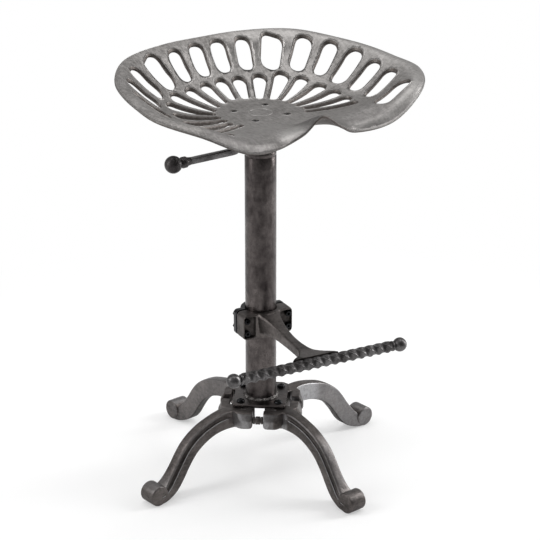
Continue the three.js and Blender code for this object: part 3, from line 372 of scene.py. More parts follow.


# Its marks: a light grey for wear and painted highlights, a near black for cast skin and painted shade.
leg_iron = metal(
    "dark brushed iron", (0.124, 0.111, 0.106), (0.056, 0.05, 0.048), 0.44, mottle=22, brush=0.26,
    strokes=((1, 1, 3), (2, 2, 1)),
    marks=(("wear_and_sheen", (0.42, 0.42, 0.43), 0.42), ("cast_skin_and_shade", (0.018, 0.016, 0.015), 0.55)),
)
STATIONS = 99
along_leg = np.linspace(0, 14, STATIONS)
outer = np.stack([through(OUTER_REACH, STATIONS) * FOOT_REACH, through(OUTER_RISE, STATIONS) * HUB_HEIGHT], 1)
inner = np.stack([through(INNER_REACH, STATIONS) * FOOT_REACH, through(INNER_RISE, STATIONS) * HUB_HEIGHT], 1)
leg_width = through(LEG_WIDTH, STATIONS) * LEG_HALF
groove = band(0.5, 1.4, 12.9, 13.9, along_leg)
# Half section, inner edge to outer band: share of the depth, share of the half width, millimetres of relief.
SECTION = [
    (0, 0.4, 0), (0.002, 0.8, 0), (0.015, 0.89, 0), (0.04, 0.955, 0), (0.08, 0.99, 0), (0.12, 1, 0), (0.35, 1, 0),
    (0.575, 1, 0), (0.59, 1, 0.6), (0.608, 1, 1.1), (0.634, 1, 1.1), (0.65, 1, 0.4), (0.662, 1, -0.8),
    (0.68, 1, -1.9), (0.7, 1, -2.3), (0.77, 1, -2.4), (0.835, 1, -2.3), (0.86, 1, -1.8), (0.875, 1, -0.7),
    (0.888, 1, -0.1), (0.903, 1, 0), (0.94, 0.99, 0), (0.97, 0.955, 0), (0.988, 0.9, 0), (1, 0.8, 0),
    (1.012, 0.45, 0),
]


def leg_bar(relief_share):
    rings = []
    for i in range(STATIONS):
        side = [(n, s * leg_width[i] + relief * groove[i] * relief_share) for n, s, relief in SECTION]
        loop = side + [(n, -y) for n, y in reversed(side)]
        rings.append([(*(inner[i] + (outer[i] - inner[i]) * n), y) for n, y in loop])
    return skin([[(x, y, z) for x, z, y in ring] for ring in rings])


scroll_profile = [(0, -SCROLL_HALF + 0.5), (7, -SCROLL_HALF + 0.3)]
scroll_profile += [
    (SCROLL_RADIUS - 3 + 3 * cos(t), -SCROLL_HALF + 3 + 3 * sin(t)) for t in np.linspace(-pi / 2, 0, 7)
]
scroll_profile += [(r, -z) for r, z in reversed(scroll_profile)]
scroll = moved(turned(scroll_profile, 56), ("X", 90), (FOOT_REACH - 0.2, 0, SCROLL_RADIUS))
hub_block = rounded([(23, -13, 2), (66, -13, 3), (66, 13, 3), (23, 13, 2)])
hub_shapes = [upright(hub_block, HUB_HEIGHT * INNER_RISE[0], HUB_TOP)]
LUG_FOOT, LUG_REACH, LUG_EASE = 91, 70, 8.5
LUG_NEAR, LUG_FAR = 8.6, 42.3
tongue = rounded([
    (50, HUB_TOP, 0), (50, 105, 7), (60, LUG_FOOT, 2.4),
    (LUG_REACH, LUG_FOOT, 7), (LUG_REACH, 105, 7), (63, HUB_TOP, 0),
], 8)
for way in (1, -1):
    lug_rings = []
    for s in (LUG_NEAR, 8.9, 10, 12, 15, 18, 22, 26, 29, 31, 34, 38, LUG_FAR):
        from_face = min(s - LUG_NEAR, LUG_FAR - s, LUG_EASE)
        foot = LUG_FOOT + LUG_EASE - sqrt(LUG_EASE**2 - (LUG_EASE - from_face) ** 2)
        reach = LUG_REACH - max(0.2 * abs(s - 17), 0.8 * (s - 25))
        lug_rings.append([(min(x, reach), s, max(z, foot)) for x, z in tongue])
    lug = skin(lug_rings)
    if way < 0:
        lug.transform(Matrix.Scale(-1, 4, Vector((0, 1, 0))))
        bmesh.ops.reverse_faces(lug, faces=lug.faces[:])
    hub_shapes.append(moved(lug, ("Z", -45 * way)))
hub_shape = block_of(cast("leg_hub", hub_shapes, grain=1.15, rounds=5))
for name, relief_share, first_turn, nodes in (
    ("back_legs", 0.0, 0, ("leg_1", "leg_2")), ("front_legs", 1.0, 180, ("leg_3", "leg_4")),
):
    legs = piece_of(name, leg_bar(relief_share), scroll.copy(), hub_shape.copy(), smooth_below=50)
    # Painted shade on the cast skin of the hollow and underside; painted highlight on the bead; long edges rubbed
    # bright.
    share, _, relief = np.array(SECTION + SECTION[::-1]).T
    fade = groove[:, None]
    skin_and_shade_marks = np.maximum(0.48 * fade * relief_share * (relief < -0.5), 0.8 * (share < 0.03)).ravel()
    long_edges = 0.2 * ((share >= 0.94) & (share <= 0.99))
    edge_sheen_and_rub = (fade * np.where(relief > 0.8, 0.9 * relief_share, long_edges)).ravel()
    beyond = np.zeros(len(legs.data.vertices) - len(skin_and_shade_marks))
    marked(legs.data, "cast_skin_and_shade", np.append(skin_and_shade_marks, beyond))
    marked(legs.data, "wear_and_sheen", np.append(edge_sheen_and_rub, beyond))
    ring_of(legs, leg_iron, 2, LEG_TURN + first_turn, 180)
    places, normals = read_points(legs) * 1000, read_points(legs, "normal")
    rub_and_sheen = np.empty(len(places), np.float32)
    legs.data.attributes["wear_and_sheen"].data.foreach_get("value", rub_and_sheen)
    # Patches of painted highlight on lit faces: turn of the leg, from and to reach, way the lit face looks (along,
    # across, up), amount.
    for turn, start, end, facing, amount in (
        (0, 60, 245, (0, -1, 0), 0.36), (0, 55, 128, (0, -1, 0), 0.9), (0, 205, 250, (0.2, 0, 1), 0.25),
        (90, 60, 235, (0, 1, 0), 0.12), (90, 90, 250, (0.2, 0, 1), 0.35), (180, 205, 250, (0.2, 0, 1), 0.2),
        (180, 40, 66, (0.6, 0.7, 0), 0.3), (270, 150, 215, (0.6, 0, 0.8), 0.13), (270, 205, 250, (0.2, 0, 1), 0.05),
    ):
        way = radians(LEG_TURN + turn)
        leg_frame = np.array([(cos(way), sin(way), 0), (-sin(way), cos(way), 0), (0, 0, 1)])
        reach, side = places @ leg_frame[0], np.abs(places @ leg_frame[1])
        faces = normals @ (np.array(facing) @ leg_frame)
        patch = band(start - 14, start + 14, end - 24, end + 16, reach) * (side < 24)
        rub_and_sheen = np.maximum(rub_and_sheen, amount * patch * ramp(0.55, 0.85, faces))
    x, y, z = places.T
    # Painted highlights on the faces of the lugs that look towards the lamps.
    on_lug = band(48, 54, 76, 80, np.hypot(x, y)) * (z < 117) * (y < 0)
    for way, amount in (((-0.9, -0.43, 0), 0.55), ((0.93, -0.37, 0), 0.3)):
        rub_and_sheen = np.maximum(rub_and_sheen, amount * on_lug * ramp(0.68, 0.93, normals @ np.array(way)))
    legs.data.attributes["wear_and_sheen"].data.foreach_set("value", rub_and_sheen.astype(np.float32))
    fitted(legs, leg_iron, "base", "base_iron", *nodes)

# Tie bolts: one between each two neighbouring lugs, a plain rod with a hexagon in the middle and a washer each side.
# Turned steel, darkened with the legs.
LUG_CIRCLE = 60
TIE_HEIGHT = 105


def eased_edges(made, width, segments=2, angle=30):
    """The same shape with its sharp edges rounded."""
    sharp = [e for e in made.edges if len(e.link_faces) == 2 and e.calc_face_angle(0) > radians(angle)]
    bmesh.ops.bevel(
        made, geom=sharp, offset=width, segments=segments, affect="EDGES", profile=0.5, clamp_overlap=True
    )
    return made


def hexagon(radius):
    return [(radius * cos(pi * k / 3), radius * sin(pi * k / 3)) for k in range(6)]


def four(stem):
    """The names of four like pieces."""
    return [f"{stem}_{k}" for k in (1, 2, 3, 4)]


washer = [(0, 4.6), (5.6, 4.6), (6.2, 5.2), (6.2, 7.6), (5.6, 8.2), (0, 8.2)]
tie_shapes = [
    turned([(0, -23), (3.9, -23), (3.9, 23), (0, 23)], 24), eased_edges(upright(hexagon(6.9), -4, 4), 0.8),
    turned(washer, 24), turned([(r, -z) for r, z in washer[::-1]], 24),
]
tie = piece_of("tie_bolts", *(moved(made, ("X", 90), (LUG_CIRCLE, 0, TIE_HEIGHT)) for made in tie_shapes))
ring_of(tie, leg_iron, 4, LEG_TURN + 45)
fitted(tie, leg_iron, "base", "base_iron", *four("tie_bolt"))

# Base plate and the weld bead: a square of steel plate with eased edges, its corners over the legs, and the ripples
# of the weld that joins the column to it. Lacquered with the column.
column_steel = metal(
    "brown-grey lacquered steel", (0.1, 0.088, 0.085), (0.031, 0.026, 0.026), 0.3, mottle=26, grain=600, brush=0.22,
    strokes=((1.5, 1.5, 0.5), (1, 1, 1)),
)
PLATE_HALF = 43.75


def four_cornered(half_x, half_y, radius, steps=5):
    return rounded([(x * half_x, y * half_y, radius) for x, y in ((1, 1), (-1, 1), (-1, -1), (1, -1))], steps)


plate = upright(four_cornered(PLATE_HALF, PLATE_HALF, 5), PLATE_TOP - PLATE_THICK, PLATE_TOP)
plate = piece_of("base_plate", moved(eased_edges(plate, 0.8, 3, 60), ("Z", 45 + LEG_TURN)))
fitted(plate, column_steel, "base", "column_steel", "base_plate")
weld_metal = metal("weld metal", (0.2, 0.19, 0.185), (0.03, 0.025, 0.023), 0.3, mottle=150, grain=1100, bump=0.6)
bead = []
for k in range(480):
    t = 2 * pi * k / 480
    swell = 0.45 * abs(sin(31 * t)) + 0.3 * sin(3 * t + 1) + 0.22 * sin(11 * t)
    run = [(25.5, 0.2), (28.9 + swell, 0.2), (28.3 + swell, 1.6 + swell), (26.9 + swell, 2.9 + swell), (25.5, 3.8)]
    bead.append([(r * cos(t), r * sin(t), PLATE_TOP + z) for r, z in run])
bead = piece_of("weld_bead", skin(bead, looped=True), smooth_below=70)
fitted(bead, weld_metal, "base", "column_steel", "weld_bead")

# Base bolts: black oxide steel screws with a button head and a hexagon socket, one through each corner of the plate
# into a leg.
black_steel = metal(
    "black oxide steel", (0.028, 0.028, 0.03), (0.01, 0.01, 0.011), 0.17, mottle=90, grain=900, bump=0.12,
)


def socket_screw(profile, key, depth, top):
    """A turned screw head with a hexagon socket sunk in its top."""
    hole = piece_of("socket", upright(hexagon(key / sqrt(3)), top - depth, top + 2))
    screw = piece_of("screw", turned(profile, 36))
    step(screw, "BOOLEAN", operation="DIFFERENCE", solver="MANIFOLD", object=hole)
    made = block_of(settled(screw))
    bpy.data.objects.remove(hole)
    return made


button_head = [(0, -22), (4, -22), (4, 0.3), (6.8, 0.3), (7, 0.6)]
button_head += [(7 - 4.4 * (1 - cos(t)), 0.6 + 3.8 * sin(t)) for t in np.linspace(0, pi / 2, 9)[1:]]
button_head = [(r, PLATE_TOP + z) for r, z in (*button_head, (0, 4.4))]
button = moved(socket_screw(button_head, 4.4, 2.6, PLATE_TOP + 4.4), (44, 0, 0))
base_bolts = piece_of("base_bolts", button, smooth_below=40)
ring_of(base_bolts, black_steel, 4, LEG_TURN)
fitted(base_bolts, black_steel, "base", "black_steel", *four("base_bolt"))

# Column: a two inch tube standing on the plate, a turned groove under its top, and the dark ring that caps it.
# Drawn steel, brushed and lacquered; the ring is moulded.
TUBE_TOP = 552
TUBE_FOOT = PLATE_TOP + 0.3
TUBE_RADIUS = 25.4
TUBE_BORE = 22.8
tube_profile = [(TUBE_BORE, TUBE_FOOT), (TUBE_RADIUS, TUBE_FOOT)]
tube_profile += [(TUBE_RADIUS, TUBE_FOOT + (TUBE_TOP - 9 - TUBE_FOOT) * k / 12) for k in range(1, 12)]
tube_profile += [
    (TUBE_RADIUS - cut, TUBE_TOP - down)
    for cut, down in ((0, 8.4), (0.2, 8), (0.8, 7.7), (0.8, 6.2), (0.2, 5.9), (0, 5.5), (0, 0.8), (0.4, 0))
]
column = piece_of("column_tube", turned([*tube_profile, (TUBE_BORE, TUBE_TOP)], 96), smooth_below=40)
fitted(column, column_steel, "base", "column_steel", "column_tube")
black_plastic = metal(
    "black moulded plastic", (0.008, 0.008, 0.008), (0.005, 0.005, 0.005), 0.5, metallic=0.0, specular=0.2, mottle=60,
    grain=800, bump=0.15,
)
ring_profile = [(14.6, 0.3), (25.6, 0.3), (26.6, 0.8), (27, 1.8), (27, 7.6), (26.6, 8.7), (25.6, 9.3), (14.6, 9.3)]
ring = piece_of("column_ring", turned([(r, TUBE_TOP + z) for r, z in ring_profile], 80), smooth_below=50)
fitted(ring, black_plastic, "base", "black_plastic", "column_ring")

# Gas lift, guide bush and clip: bought parts inside the column, a chromed cylinder and rod in a moulded bush. The
# mount under the seat, its nuts and the lever's pin are plain steel.
bright_steel = metal(
    "bright ground steel", (0.55, 0.55, 0.56), (0.42, 0.42, 0.43), 0.2, mottle=40, grain=1200, bump=0.05,
)
for slot, finish, names in (
    ("bright_steel", bright_steel, ("gas_cylinder", "piston_rod", "rod_clip", "lever_pin")),
    ("black_plastic", black_plastic, ("valve_button", "guide_bush")),
    ("black_steel", black_steel, ("mount_plate", *four("seat_nut"))),
):
    for name in names:
        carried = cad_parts[name]
        carried.data.materials.clear()
        carried.data.materials.append(finish)

# Footrest clamp, front half: an iron casting with a boss round the column, an ear with two bolt pockets each side and
# the arm, which leaves the boss as wide as it and narrows to a round rib before the fork that holds the bar.
REST_TURN = -7.4
CLAMP_MID = 261.5
BAR_FORWARD = 194.6
BAR_HEIGHT = 261.1
FORK = (0, -BAR_FORWARD, BAR_HEIGHT)
EAR_ACROSS, EAR_HALF = 44.5, 21.5


def ear(depth0, depth1):
    outline = four_cornered(EAR_ACROSS, EAR_HALF, 6)
    return moved(upright(outline, depth0, depth1), ("X", 90), (0, 0, CLAMP_MID))


def boss(radius, way):
    """Half of a round boss, in front of the column (-1) or behind it (1)."""
    outline = [(radius * cos(pi * k / 40), way * max(radius * sin(pi * k / 40), 1)) for k in range(41)]
    return upright(outline, CLAMP_MID - EAR_HALF, CLAMP_MID + EAR_HALF)


def swung(piece, shift=(0, 0, 0)):
    """The piece shifted in millimetres and turned with the footrest."""
    piece.data.transform(Matrix.Translation(Vector(shift) / 1000))
    piece.data.transform(Matrix.Rotation(radians(REST_TURN), 4, "Z"))
    return piece


ARM_REACH = [0.14, 0.26, 0.4, 0.55, 0.7, 0.82, 0.9, 0.955, 1.0]
ARM_LEVEL = [0.1, 0.08, 0.02, -0.05, -0.07, -0.06, -0.03, -0.01, 0.0]
ARM_DEPTH = [0.42, 0.3, 0.22, 0.19, 0.18, 0.17, 0.17, 0.18, 0.2]
ARM_TOP = [0.48, 0.31, 0.22, 0.19, 0.2, 0.28, 0.5, 0.78, 0.95]
ARM_FOOT = [0.4, 0.34, 0.26, 0.21, 0.22, 0.3, 0.52, 0.78, 0.93]
arm = []
arm_lines = (through(values, 60) for values in (ARM_REACH, ARM_LEVEL, ARM_DEPTH, ARM_TOP, ARM_FOOT))
for reach, level, depth, top, foot in zip(*arm_lines):
    y = -(BAR_FORWARD - 7 - 1.2) * reach
    half = [(0.7 * top, 1), (0.9 * top, 0.95), (top, 0.8), (foot, -0.85), (0.9 * foot, -0.97), (0.7 * foot, -1)]
    loop = half + [(-u, v) for u, v in reversed(half)]
    arm.append([(43 * u, y, CLAMP_MID + 43 * level + 43 * depth * v) for u, v in loop])
pipe = turned([(0, 200), (25.7, 200), (25.7, 320), (0, 320)], 72)
pocket_corners = [(42.8, -60, 0), (42.8, -20.5, 1), (23, -20.5, 3), (23, -60, 0)]
pockets = [
    upright(rounded([(w * x, y, r) for x, y, r in pocket_corners][::w]), CLAMP_MID - 17.5, CLAMP_MID + 17.5)
    for w in (1, -1)
]
bar_bore = moved(turned([(0, -60), (9.65, -60), (9.65, 60), (0, 60)], 32), ("Y", 90), FORK)
front_shape = block_of(cast("clamp_ears", [ear(1, 26.5)], pockets, grain=1.1, rounds=2))
clamp = cast("clamp_front", [front_shape, boss(33, -1), skin(arm)], [pipe.copy(), bar_bore], grain=0.9, rounds=3)
# Painted shade: the floors of the bolt pockets and the left face of the ear are darkened.
places = read_points(clamp) * 1000
across, along = places[:, 0], places[:, 2] - CLAMP_MID
pocket_shade = band(21, 24, 42, 43.5, np.abs(across)) * (1 - ramp(16.6, 18.2, np.abs(along)))
pocket_shade *= ramp(17, 19.5, -places[:, 1])
marked(clamp.data, "cast_skin_and_shade", np.maximum(0.75 * pocket_shade, 0.3 * ramp(24, 32, -across)))
fitted(swung(clamp), leg_iron, "footrest", "base_iron", "clamp_front")

# Clamp, back half: a plain iron casting painted black, with the same ears as the front half, to which four bolts
# draw it round the column.
clamp_back = cast("clamp_back", [ear(-12, -1), boss(33.5, 1)], [pipe], grain=1.1, rounds=3)
fitted(swung(clamp_back), black_steel, "footrest", "black_steel", "clamp_back")

# Clamp bolts and nuts: four black steel screws with a socket head, through both halves of the clamp, each with a
# hexagon nut behind.
BOLT_ACROSS, BOLT_UP = 37.5, 10.8
HEAD_FOOT = 20.8
cap_head = [(3, 0), (4.8, 0), (5, 0.3), (5, 5.3), (4.8, 5.8), (4.4, 6), (0, 6)]
cap_head = [(0, -19.3), (3, -19.3), *((r, HEAD_FOOT + z) for r, z in cap_head)]
bolt_shape = moved(socket_screw(cap_head, 4.2, 3.4, HEAD_FOOT + 6), ("X", 90))
nut_shape = moved(eased_edges(upright(hexagon(5.75), -17.3, -12.3), 0.5), ("X", 90))


def four_corners(tree, given):
    """Copies at the corners of an upright rectangle, turned together about the column."""
    grid = added(tree, "MeshGrid", given["Across"], given["Up"], 2, 2)
    stand = added(tree, "Transform", grid, Translation=given["Height"], Rotation=given["Stand"])
    corners = added(tree, "InstanceOnPoints", stand, Instance=given["Geometry"])
    return added(tree, "Transform", corners, Rotation=given["Turn"])


for name, shape in (("clamp_bolt", bolt_shape), ("clamp_nut", nut_shape)):
    fixing = grown(piece_of(name + "s", shape, smooth_below=40), name + "s at four corners", black_steel, {
        "Across": ("Float", 2 * BOLT_ACROSS / 1000), "Up": ("Float", 2 * BOLT_UP / 1000),
        "Height": ("Vector", [0, 0, CLAMP_MID / 1000]), "Turn": ("Rotation", [0, 0, radians(REST_TURN)]),
        "Stand": ("Rotation", [pi / 2, 0, 0]),
    }, four_corners)
    fitted(fixing, black_steel, "footrest", "black_steel", *four(name))

# Footrest bar: a square steel bar twisted cold about its length, its corners eased, pressed in the fork of the
# clamp's arm and worn by feet.
BAR_HALF = 131.4
BAR_FLAT = 14.4
BAR_CORNER = 2
BAR_TWIST = 63
bar_steel = metal(
    "worn forged steel", (0.13, 0.126, 0.127), (0.045, 0.042, 0.042), 0.36, mottle=34, grain=500, brush=0.2,
)


def twisted(tree, given):
    """A square bar along X whose section turns evenly over its length."""
    far = maths(tree, "MULTIPLY", given["Half Length"], -1)
    ends = [added(tree, "ShaderNodeCombineXYZ", end) for end in (far, given["Half Length"])]
    line = added(tree, "CurvePrimitiveLine", Start=ends[0], End=ends[1])
    line = added(tree, "ResampleCurve", line, Count=420)
    angle = maths(tree, "MULTIPLY", added(tree, "SplineParameter"), given["Turns"])
    line = added(tree, "SetCurveTilt", line, Tilt=angle)
    square = added(tree, "CurvePrimitiveQuadrilateral", given["Flat"], given["Flat"])
    square = added(tree, "FilletCurve", square, Count=4, Radius=given["Corner"], settings={"mode": "POLY"})
    return added(tree, "CurveToMesh", line, Profile_Curve=square, Fill_Caps=True)


bar = grown(placed("footrest_bar", bpy.data.meshes.new("footrest_bar")), "twisted bar", bar_steel, {
    "Flat": ("Float", BAR_FLAT / 1000), "Corner": ("Float", BAR_CORNER / 1000),
    "Half Length": ("Float", BAR_HALF / 1000), "Turns": ("Float", 2 * pi * 2 * BAR_HALF / BAR_TWIST),
}, twisted)
bar.data.shade_smooth()
bar.data.set_sharp_from_angle(angle=radians(50))
fitted(swung(bar, FORK), bar_steel, "footrest", "forged_steel", "footrest_bar")

# Bar ends: two steel balls, each turned with a neck and a collar and screwed on an end of the bar.
# The bore in the collar takes the end of the bar.


def ball_end(radius, neck, neck_width, collar, collar_width, bore, depth):
    start = asin(neck / radius)
    profile = [(0, -radius)]
    profile += [(radius * cos(t), radius * sin(t)) for t in np.linspace(-pi / 2, pi / 2 - start, 25)[1:]]
    face = radius + neck_width + collar_width
    low = radius + neck_width
    profile += [
        (neck * 0.96, radius * cos(start) + neck_width * 0.6), (collar - 1, low - 0.4), (collar - 0.3, low + 0.1),
        (collar, low + 0.9), (collar, face - 1.2), (collar - 0.3, face - 0.6), (collar - 0.9, face - 0.3),
        (bore + 0.3, face - 0.3), (bore + 0.3, face - depth), (0, face - depth),
    ]
    return turned(profile, 48)


ball = moved(ball_end(11.4, 5.5, 0.8, 8.2, 4, 3.5, 12), ("Y", -90), (147.6, 0, 0))
balls = ring_of(piece_of("footrest_balls", ball, smooth_below=50), bar_steel, 2)
fitted(swung(balls, FORK), bar_steel, "footrest", "forged_steel", "footrest_ball_left", "footrest_ball_right")

# Release lever: a forged steel bar that leaves the mount under the seat on a pin, drops and runs out level to a
# turned ball screwed on its end.
LEVER_HEIGHT = 559.2
LEVER_REACH = 163.3
# Middle line of the lever: place along it, height above its level run, depth of the bar.
lever_path = [
    (-140.4, 0, 9.2), (-138, 0, 9.8), (-130, 0, 10), (-100, 0, 10), (-56, 0, 10), (-49, 0.5, 10), (-44.5, 2.8, 10),
    (-40.5, 8.1, 10), (-37, 16.3, 10), (-34, 24.3, 10), (-31, 30.3, 10), (-27.5, 33, 10), (-24, 33.6, 9.6),
    (-19, 33.6, 7), (-13, 33.6, 5), (4, 33.6, 5),
]
lever_rings = []
for i, (x, z, deep) in enumerate(lever_path):
    a, b = lever_path[max(0, i - 1)], lever_path[min(len(lever_path) - 1, i + 1)]
    lean = atan2(b[1] - a[1], b[0] - a[0])
    loop = four_cornered(5, deep / 2, 1.6, 3)
    lever_rings.append([(x - sin(lean) * v, u, LEVER_HEIGHT + z + cos(lean) * v) for u, v in loop])
lever = piece_of("lever_rod", skin(lever_rings), smooth_below=50)
fitted(lever, bar_steel, "lever", "forged_steel", "lever_rod")
lever_flare = turned([(3.3, 22.8), (7.6, 22.8), (7.2, 24.5), (6.5, 28), (6.1, 31), (3.3, 31)], 40)
lever_end = [
    moved(made, ("Y", 90), (-LEVER_REACH, 0, LEVER_HEIGHT))
    for made in (ball_end(13.9, 6.6, 1.3, 9, 8.2, 3, 8), lever_flare)
]
lever_ball = piece_of("lever_ball", *lever_end, smooth_below=50)
ball_steel = metal("blued steel", (0.085, 0.08, 0.08), (0.033, 0.03, 0.03), 0.4, mottle=40, grain=500, brush=0.12)
fitted(lever_ball, ball_steel, "lever", "forged_steel", "lever_ball")

# Seat: one iron casting, a dished pan with two rows of openings drawn straight up, thigh lobes beside a raised front
# and a side edge that rolls down. The top is ground and burnished; the walls of the openings stay as cast, darker
# with painted shade.
PAD_TOP = 614
PAN_HALF = 253
PAN_RISE = 80
PAN_WALL = 5
PAD_RADIUS = 60
PAN_LIP = 6
PAN_CROWN = 10
RIM_ANGLES = [0, 25, 50, 70, 85, 97, 110, 125, 140, 155, 168, 180]
RIM_RADIUS = [0.684, 0.724, 0.848, 0.912, 0.944, 0.978, 1.037, 1.003, 0.851, 0.68, 0.666, 0.645]
RIM_HEIGHT = [1.041, 1.048, 0.99, 0.851, 0.787, 0.729, 0.665, 0.485, 0.059, -0.034, 0.195, 0.459]
WALL_STEPS = [0, 0.1, 0.3, 0.47, 0.55, 0.62, 0.72, 0.82, 0.9, 1]
BACK_RISE = [0, 0.02, 0.14, 0.274, 0.364, 0.461, 0.638, 0.85, 0.939, 1]
SIDE_RISE = [0, 0.005, 0.068, 0.186, 0.27, 0.383, 0.566, 0.777, 0.929, 1]
# Openings, back to front: the angles where one begins and ends, the shares of the way out there, its width.
OUTER_ROW = [
    (9, 7.4, 0.5, 0.639, 0.112), (25.4, 24, 0.519, 0.661, 0.106), (40.7, 41, 0.558, 0.737, 0.137),
    (56.4, 56.6, 0.608, 0.799, 0.113), (70.4, 69.2, 0.635, 0.831, 0.103), (84.6, 82.4, 0.628, 0.851, 0.121),
    (99.2, 95.1, 0.646, 0.857, 0.108), (113.3, 105.6, 0.69, 0.889, 0.102), (132.5, 118.5, 0.736, 0.91, 0.118),
]
INNER_ROW = [
    (0, 0, 0.295, 0.464, 0.1), (16.2, 16.7, 0.286, 0.466, 0.098), (33.6, 34.2, 0.283, 0.496, 0.095),
    (50.2, 49.7, 0.283, 0.558, 0.1), (64, 63.5, 0.286, 0.58, 0.087), (77.5, 78.7, 0.27, 0.575, 0.097),
    (92.5, 93.7, 0.265, 0.578, 0.1), (107.2, 107, 0.285, 0.594, 0.087), (121.7, 116.5, 0.28, 0.61, 0.07),
]


def eased(knots, values, x):
    """Smooth curve through the knots, level at both ends."""
    knots, values = np.asarray(knots, float), np.asarray(values, float)
    slope = np.zeros(len(knots))
    slope[1:-1] = (values[2:] - values[:-2]) / (knots[2:] - knots[:-2])
    return curve(knots, values, slope, np.asarray(x, float))


def pan_height(angle, t):
    """Top of the pan above the pad, at an angle from the back and a share of the way from the pad to the edge."""
    edge = PAN_RISE * eased(RIM_ANGLES, RIM_HEIGHT, angle)
    front_share = ramp(120, 165, angle)
    side_share = ramp(35, 80, angle)
    wall = eased(WALL_STEPS, BACK_RISE, t) * (1 - side_share) + eased(WALL_STEPS, SIDE_RISE, t) * side_share
    turned_down = band(40, 75, 140, 172, angle)
    roll = np.maximum(0, (t - 0.9) / 0.1)
    lip = PAN_LIP * turned_down * (np.minimum(1, t / 0.9) ** 4 - roll**2)
    lobe = band(112, 140, 158, 178, angle)
    front = t**1.7 + 1.2 * t**4 * (1 - t)
    return edge * (wall * (1 - front_share) + front * front_share) + lip + PAN_CROWN * lobe * 6.75 * t * t * (1 - t)


def rim_radius(angle):
    return PAN_HALF * eased(RIM_ANGLES, RIM_RADIUS, angle)


def slot_outlines():
    """Plan outline of every opening, drawn as a tapered slot with round corners."""
    outer_row = [
        (*opening, w * (0.92 if i > 4 else 0.86), w, 0.55 if i == 2 else 0.85)
        for i, (*opening, w) in enumerate(OUTER_ROW)
    ]
    inner_row = [(*opening, w * 0.42, w, 0.8) for *opening, w in INNER_ROW]
    found = []
    for hand, slots in ((1, outer_row + inner_row), (-1, outer_row + inner_row[1:])):
        for a0, a1, r0, r1, w0, w1, corner in slots:
            ends = [
                PAN_HALF * r * Vector((cos(radians(90 + a * hand)), sin(radians(90 + a * hand))))
                for a, r in ((a0, r0), (a1, r1))
            ]
            d = (ends[1] - ends[0]).normalized()
            n = Vector((-d.y, d.x))
            w0, w1 = PAN_HALF * w0, PAN_HALF * w1
            found.append(rounded([
                (*(ends[0] + n * w0 / 2), w0 * 0.45), (*(ends[0] - n * w0 / 2), w0 * 0.45),
                (*(ends[1] - n * w1 / 2), w1 * corner / 2), (*(ends[1] + n * w1 / 2), w1 * corner / 2),
            ], 6))
    return found


def evenly(outline, spacing):
    """The closed outline with points at even distances, anticlockwise."""
    p = np.array(outline)
    if np.sum(p[:, 0] * np.roll(p[:, 1], -1) - p[:, 1] * np.roll(p[:, 0], -1)) < 0:
        p = p[::-1]
    closed = np.vstack([p, p[:1]])
    run = np.concatenate([[0], np.cumsum(np.hypot(*np.diff(closed, axis=0).T))])
    at = np.linspace(0, run[-1], round(run[-1] / spacing), endpoint=False)
    return np.stack([np.interp(at, run, closed[:, 0]), np.interp(at, run, closed[:, 1])], 1)


def outward(p):
    """Direction away from the outline at each of its points."""
    run = np.roll(p, -1, 0) - np.roll(p, 1, 0)
    return np.stack([run[:, 1], -run[:, 0]], 1) / np.hypot(*run.T)[:, None]


def within(outline, points):
    """Which of the points lie inside the outline."""
    inside = np.zeros(len(points), bool)
    low, high = outline.min(0), outline.max(0)
    near = np.flatnonzero(np.all((points >= low) & (points <= high), 1))
    x, y = points[near].T[:, :, None]
    x0, y0 = outline.T[:, None]
    x1, y1 = np.roll(outline, -1, 0).T[:, None]
    crossing = ((y0 > y) != (y1 > y)) & (x < (x1 - x0) * (y - y0) / np.where(y1 == y0, 1, y1 - y0) + x0)
    inside[near] = crossing.sum(1) % 2 == 1
    return inside


def pan_place(x, y):
    """Angle from the back, share of the way out and radius of plan points on the pan."""
    angle, r = np.abs(np.degrees(np.arctan2(x, y))), np.hypot(x, y)
    return angle, np.clip((r - PAD_RADIUS) / (rim_radius(angle) - PAD_RADIUS), 0, 1), r


def pan_top(x, y):
    angle, t, _ = pan_place(x, y)
    return PAD_TOP + pan_height(angle, t)


def pan_slant(x, y):
    """How much longer the pan is than its plan, at plan points."""
    dx = pan_top(x + 0.4, y) - pan_top(x - 0.4, y)
    dy = pan_top(x, y + 0.4) - pan_top(x, y - 0.4)
    return np.sqrt(1 + (dx / 0.8) ** 2 + (dy / 0.8) ** 2)


def pan_wall(x, y):
    """Thickness of the pan: a little more low in the sides, where the ribs between the openings are deep."""
    angle, t, _ = pan_place(x, y)
    return PAN_WALL + np.where(x < 0, 4, 0.8) * band(0.07, 0.17, 0.42, 0.62, t) * ramp(48, 76, angle)


def pan_under(x, y):
    return pan_top(x, y) - pan_wall(x, y) * pan_slant(x, y)


# Steps from the face down to the wall of a hole: share of the flare, share of the depth, polish (below it cast skin
# and painted shade).
SLOT_STEPS = [
    (0.93, 0.03, 0.9), (0.84, 0.13, 0.35), (0.7, 0.32, 0.05), (0.5, 0.56, 0), (0.3, 0.77, 0), (0.12, 0.93, 0),
    (0, 1.12, 0),
]
SINK_STEPS = [(0.97, 0.04, 0.3), (0.5, 0.5, 0), (0, 1, 0)]
SLOT_FLARE, SLOT_DEPTH = 1.8, 2.1
edges = [evenly(outline, 2.2) for outline in slot_outlines()]
holes = []
for edge in edges:
    others = np.vstack([other for other in edges if other is not edge])
    gap = np.sqrt(((edge[:, None] - others[None]) ** 2).sum(2)).min(1)
    width = np.minimum(SLOT_FLARE, 0.44 * gap)
    for _ in range(4):
        width = np.minimum(width, (np.roll(width, 1) + width + np.roll(width, -1)) / 3)
    holes.append((edge, width, SLOT_DEPTH, SLOT_STEPS))
SCREW_ACROSS = 30.4
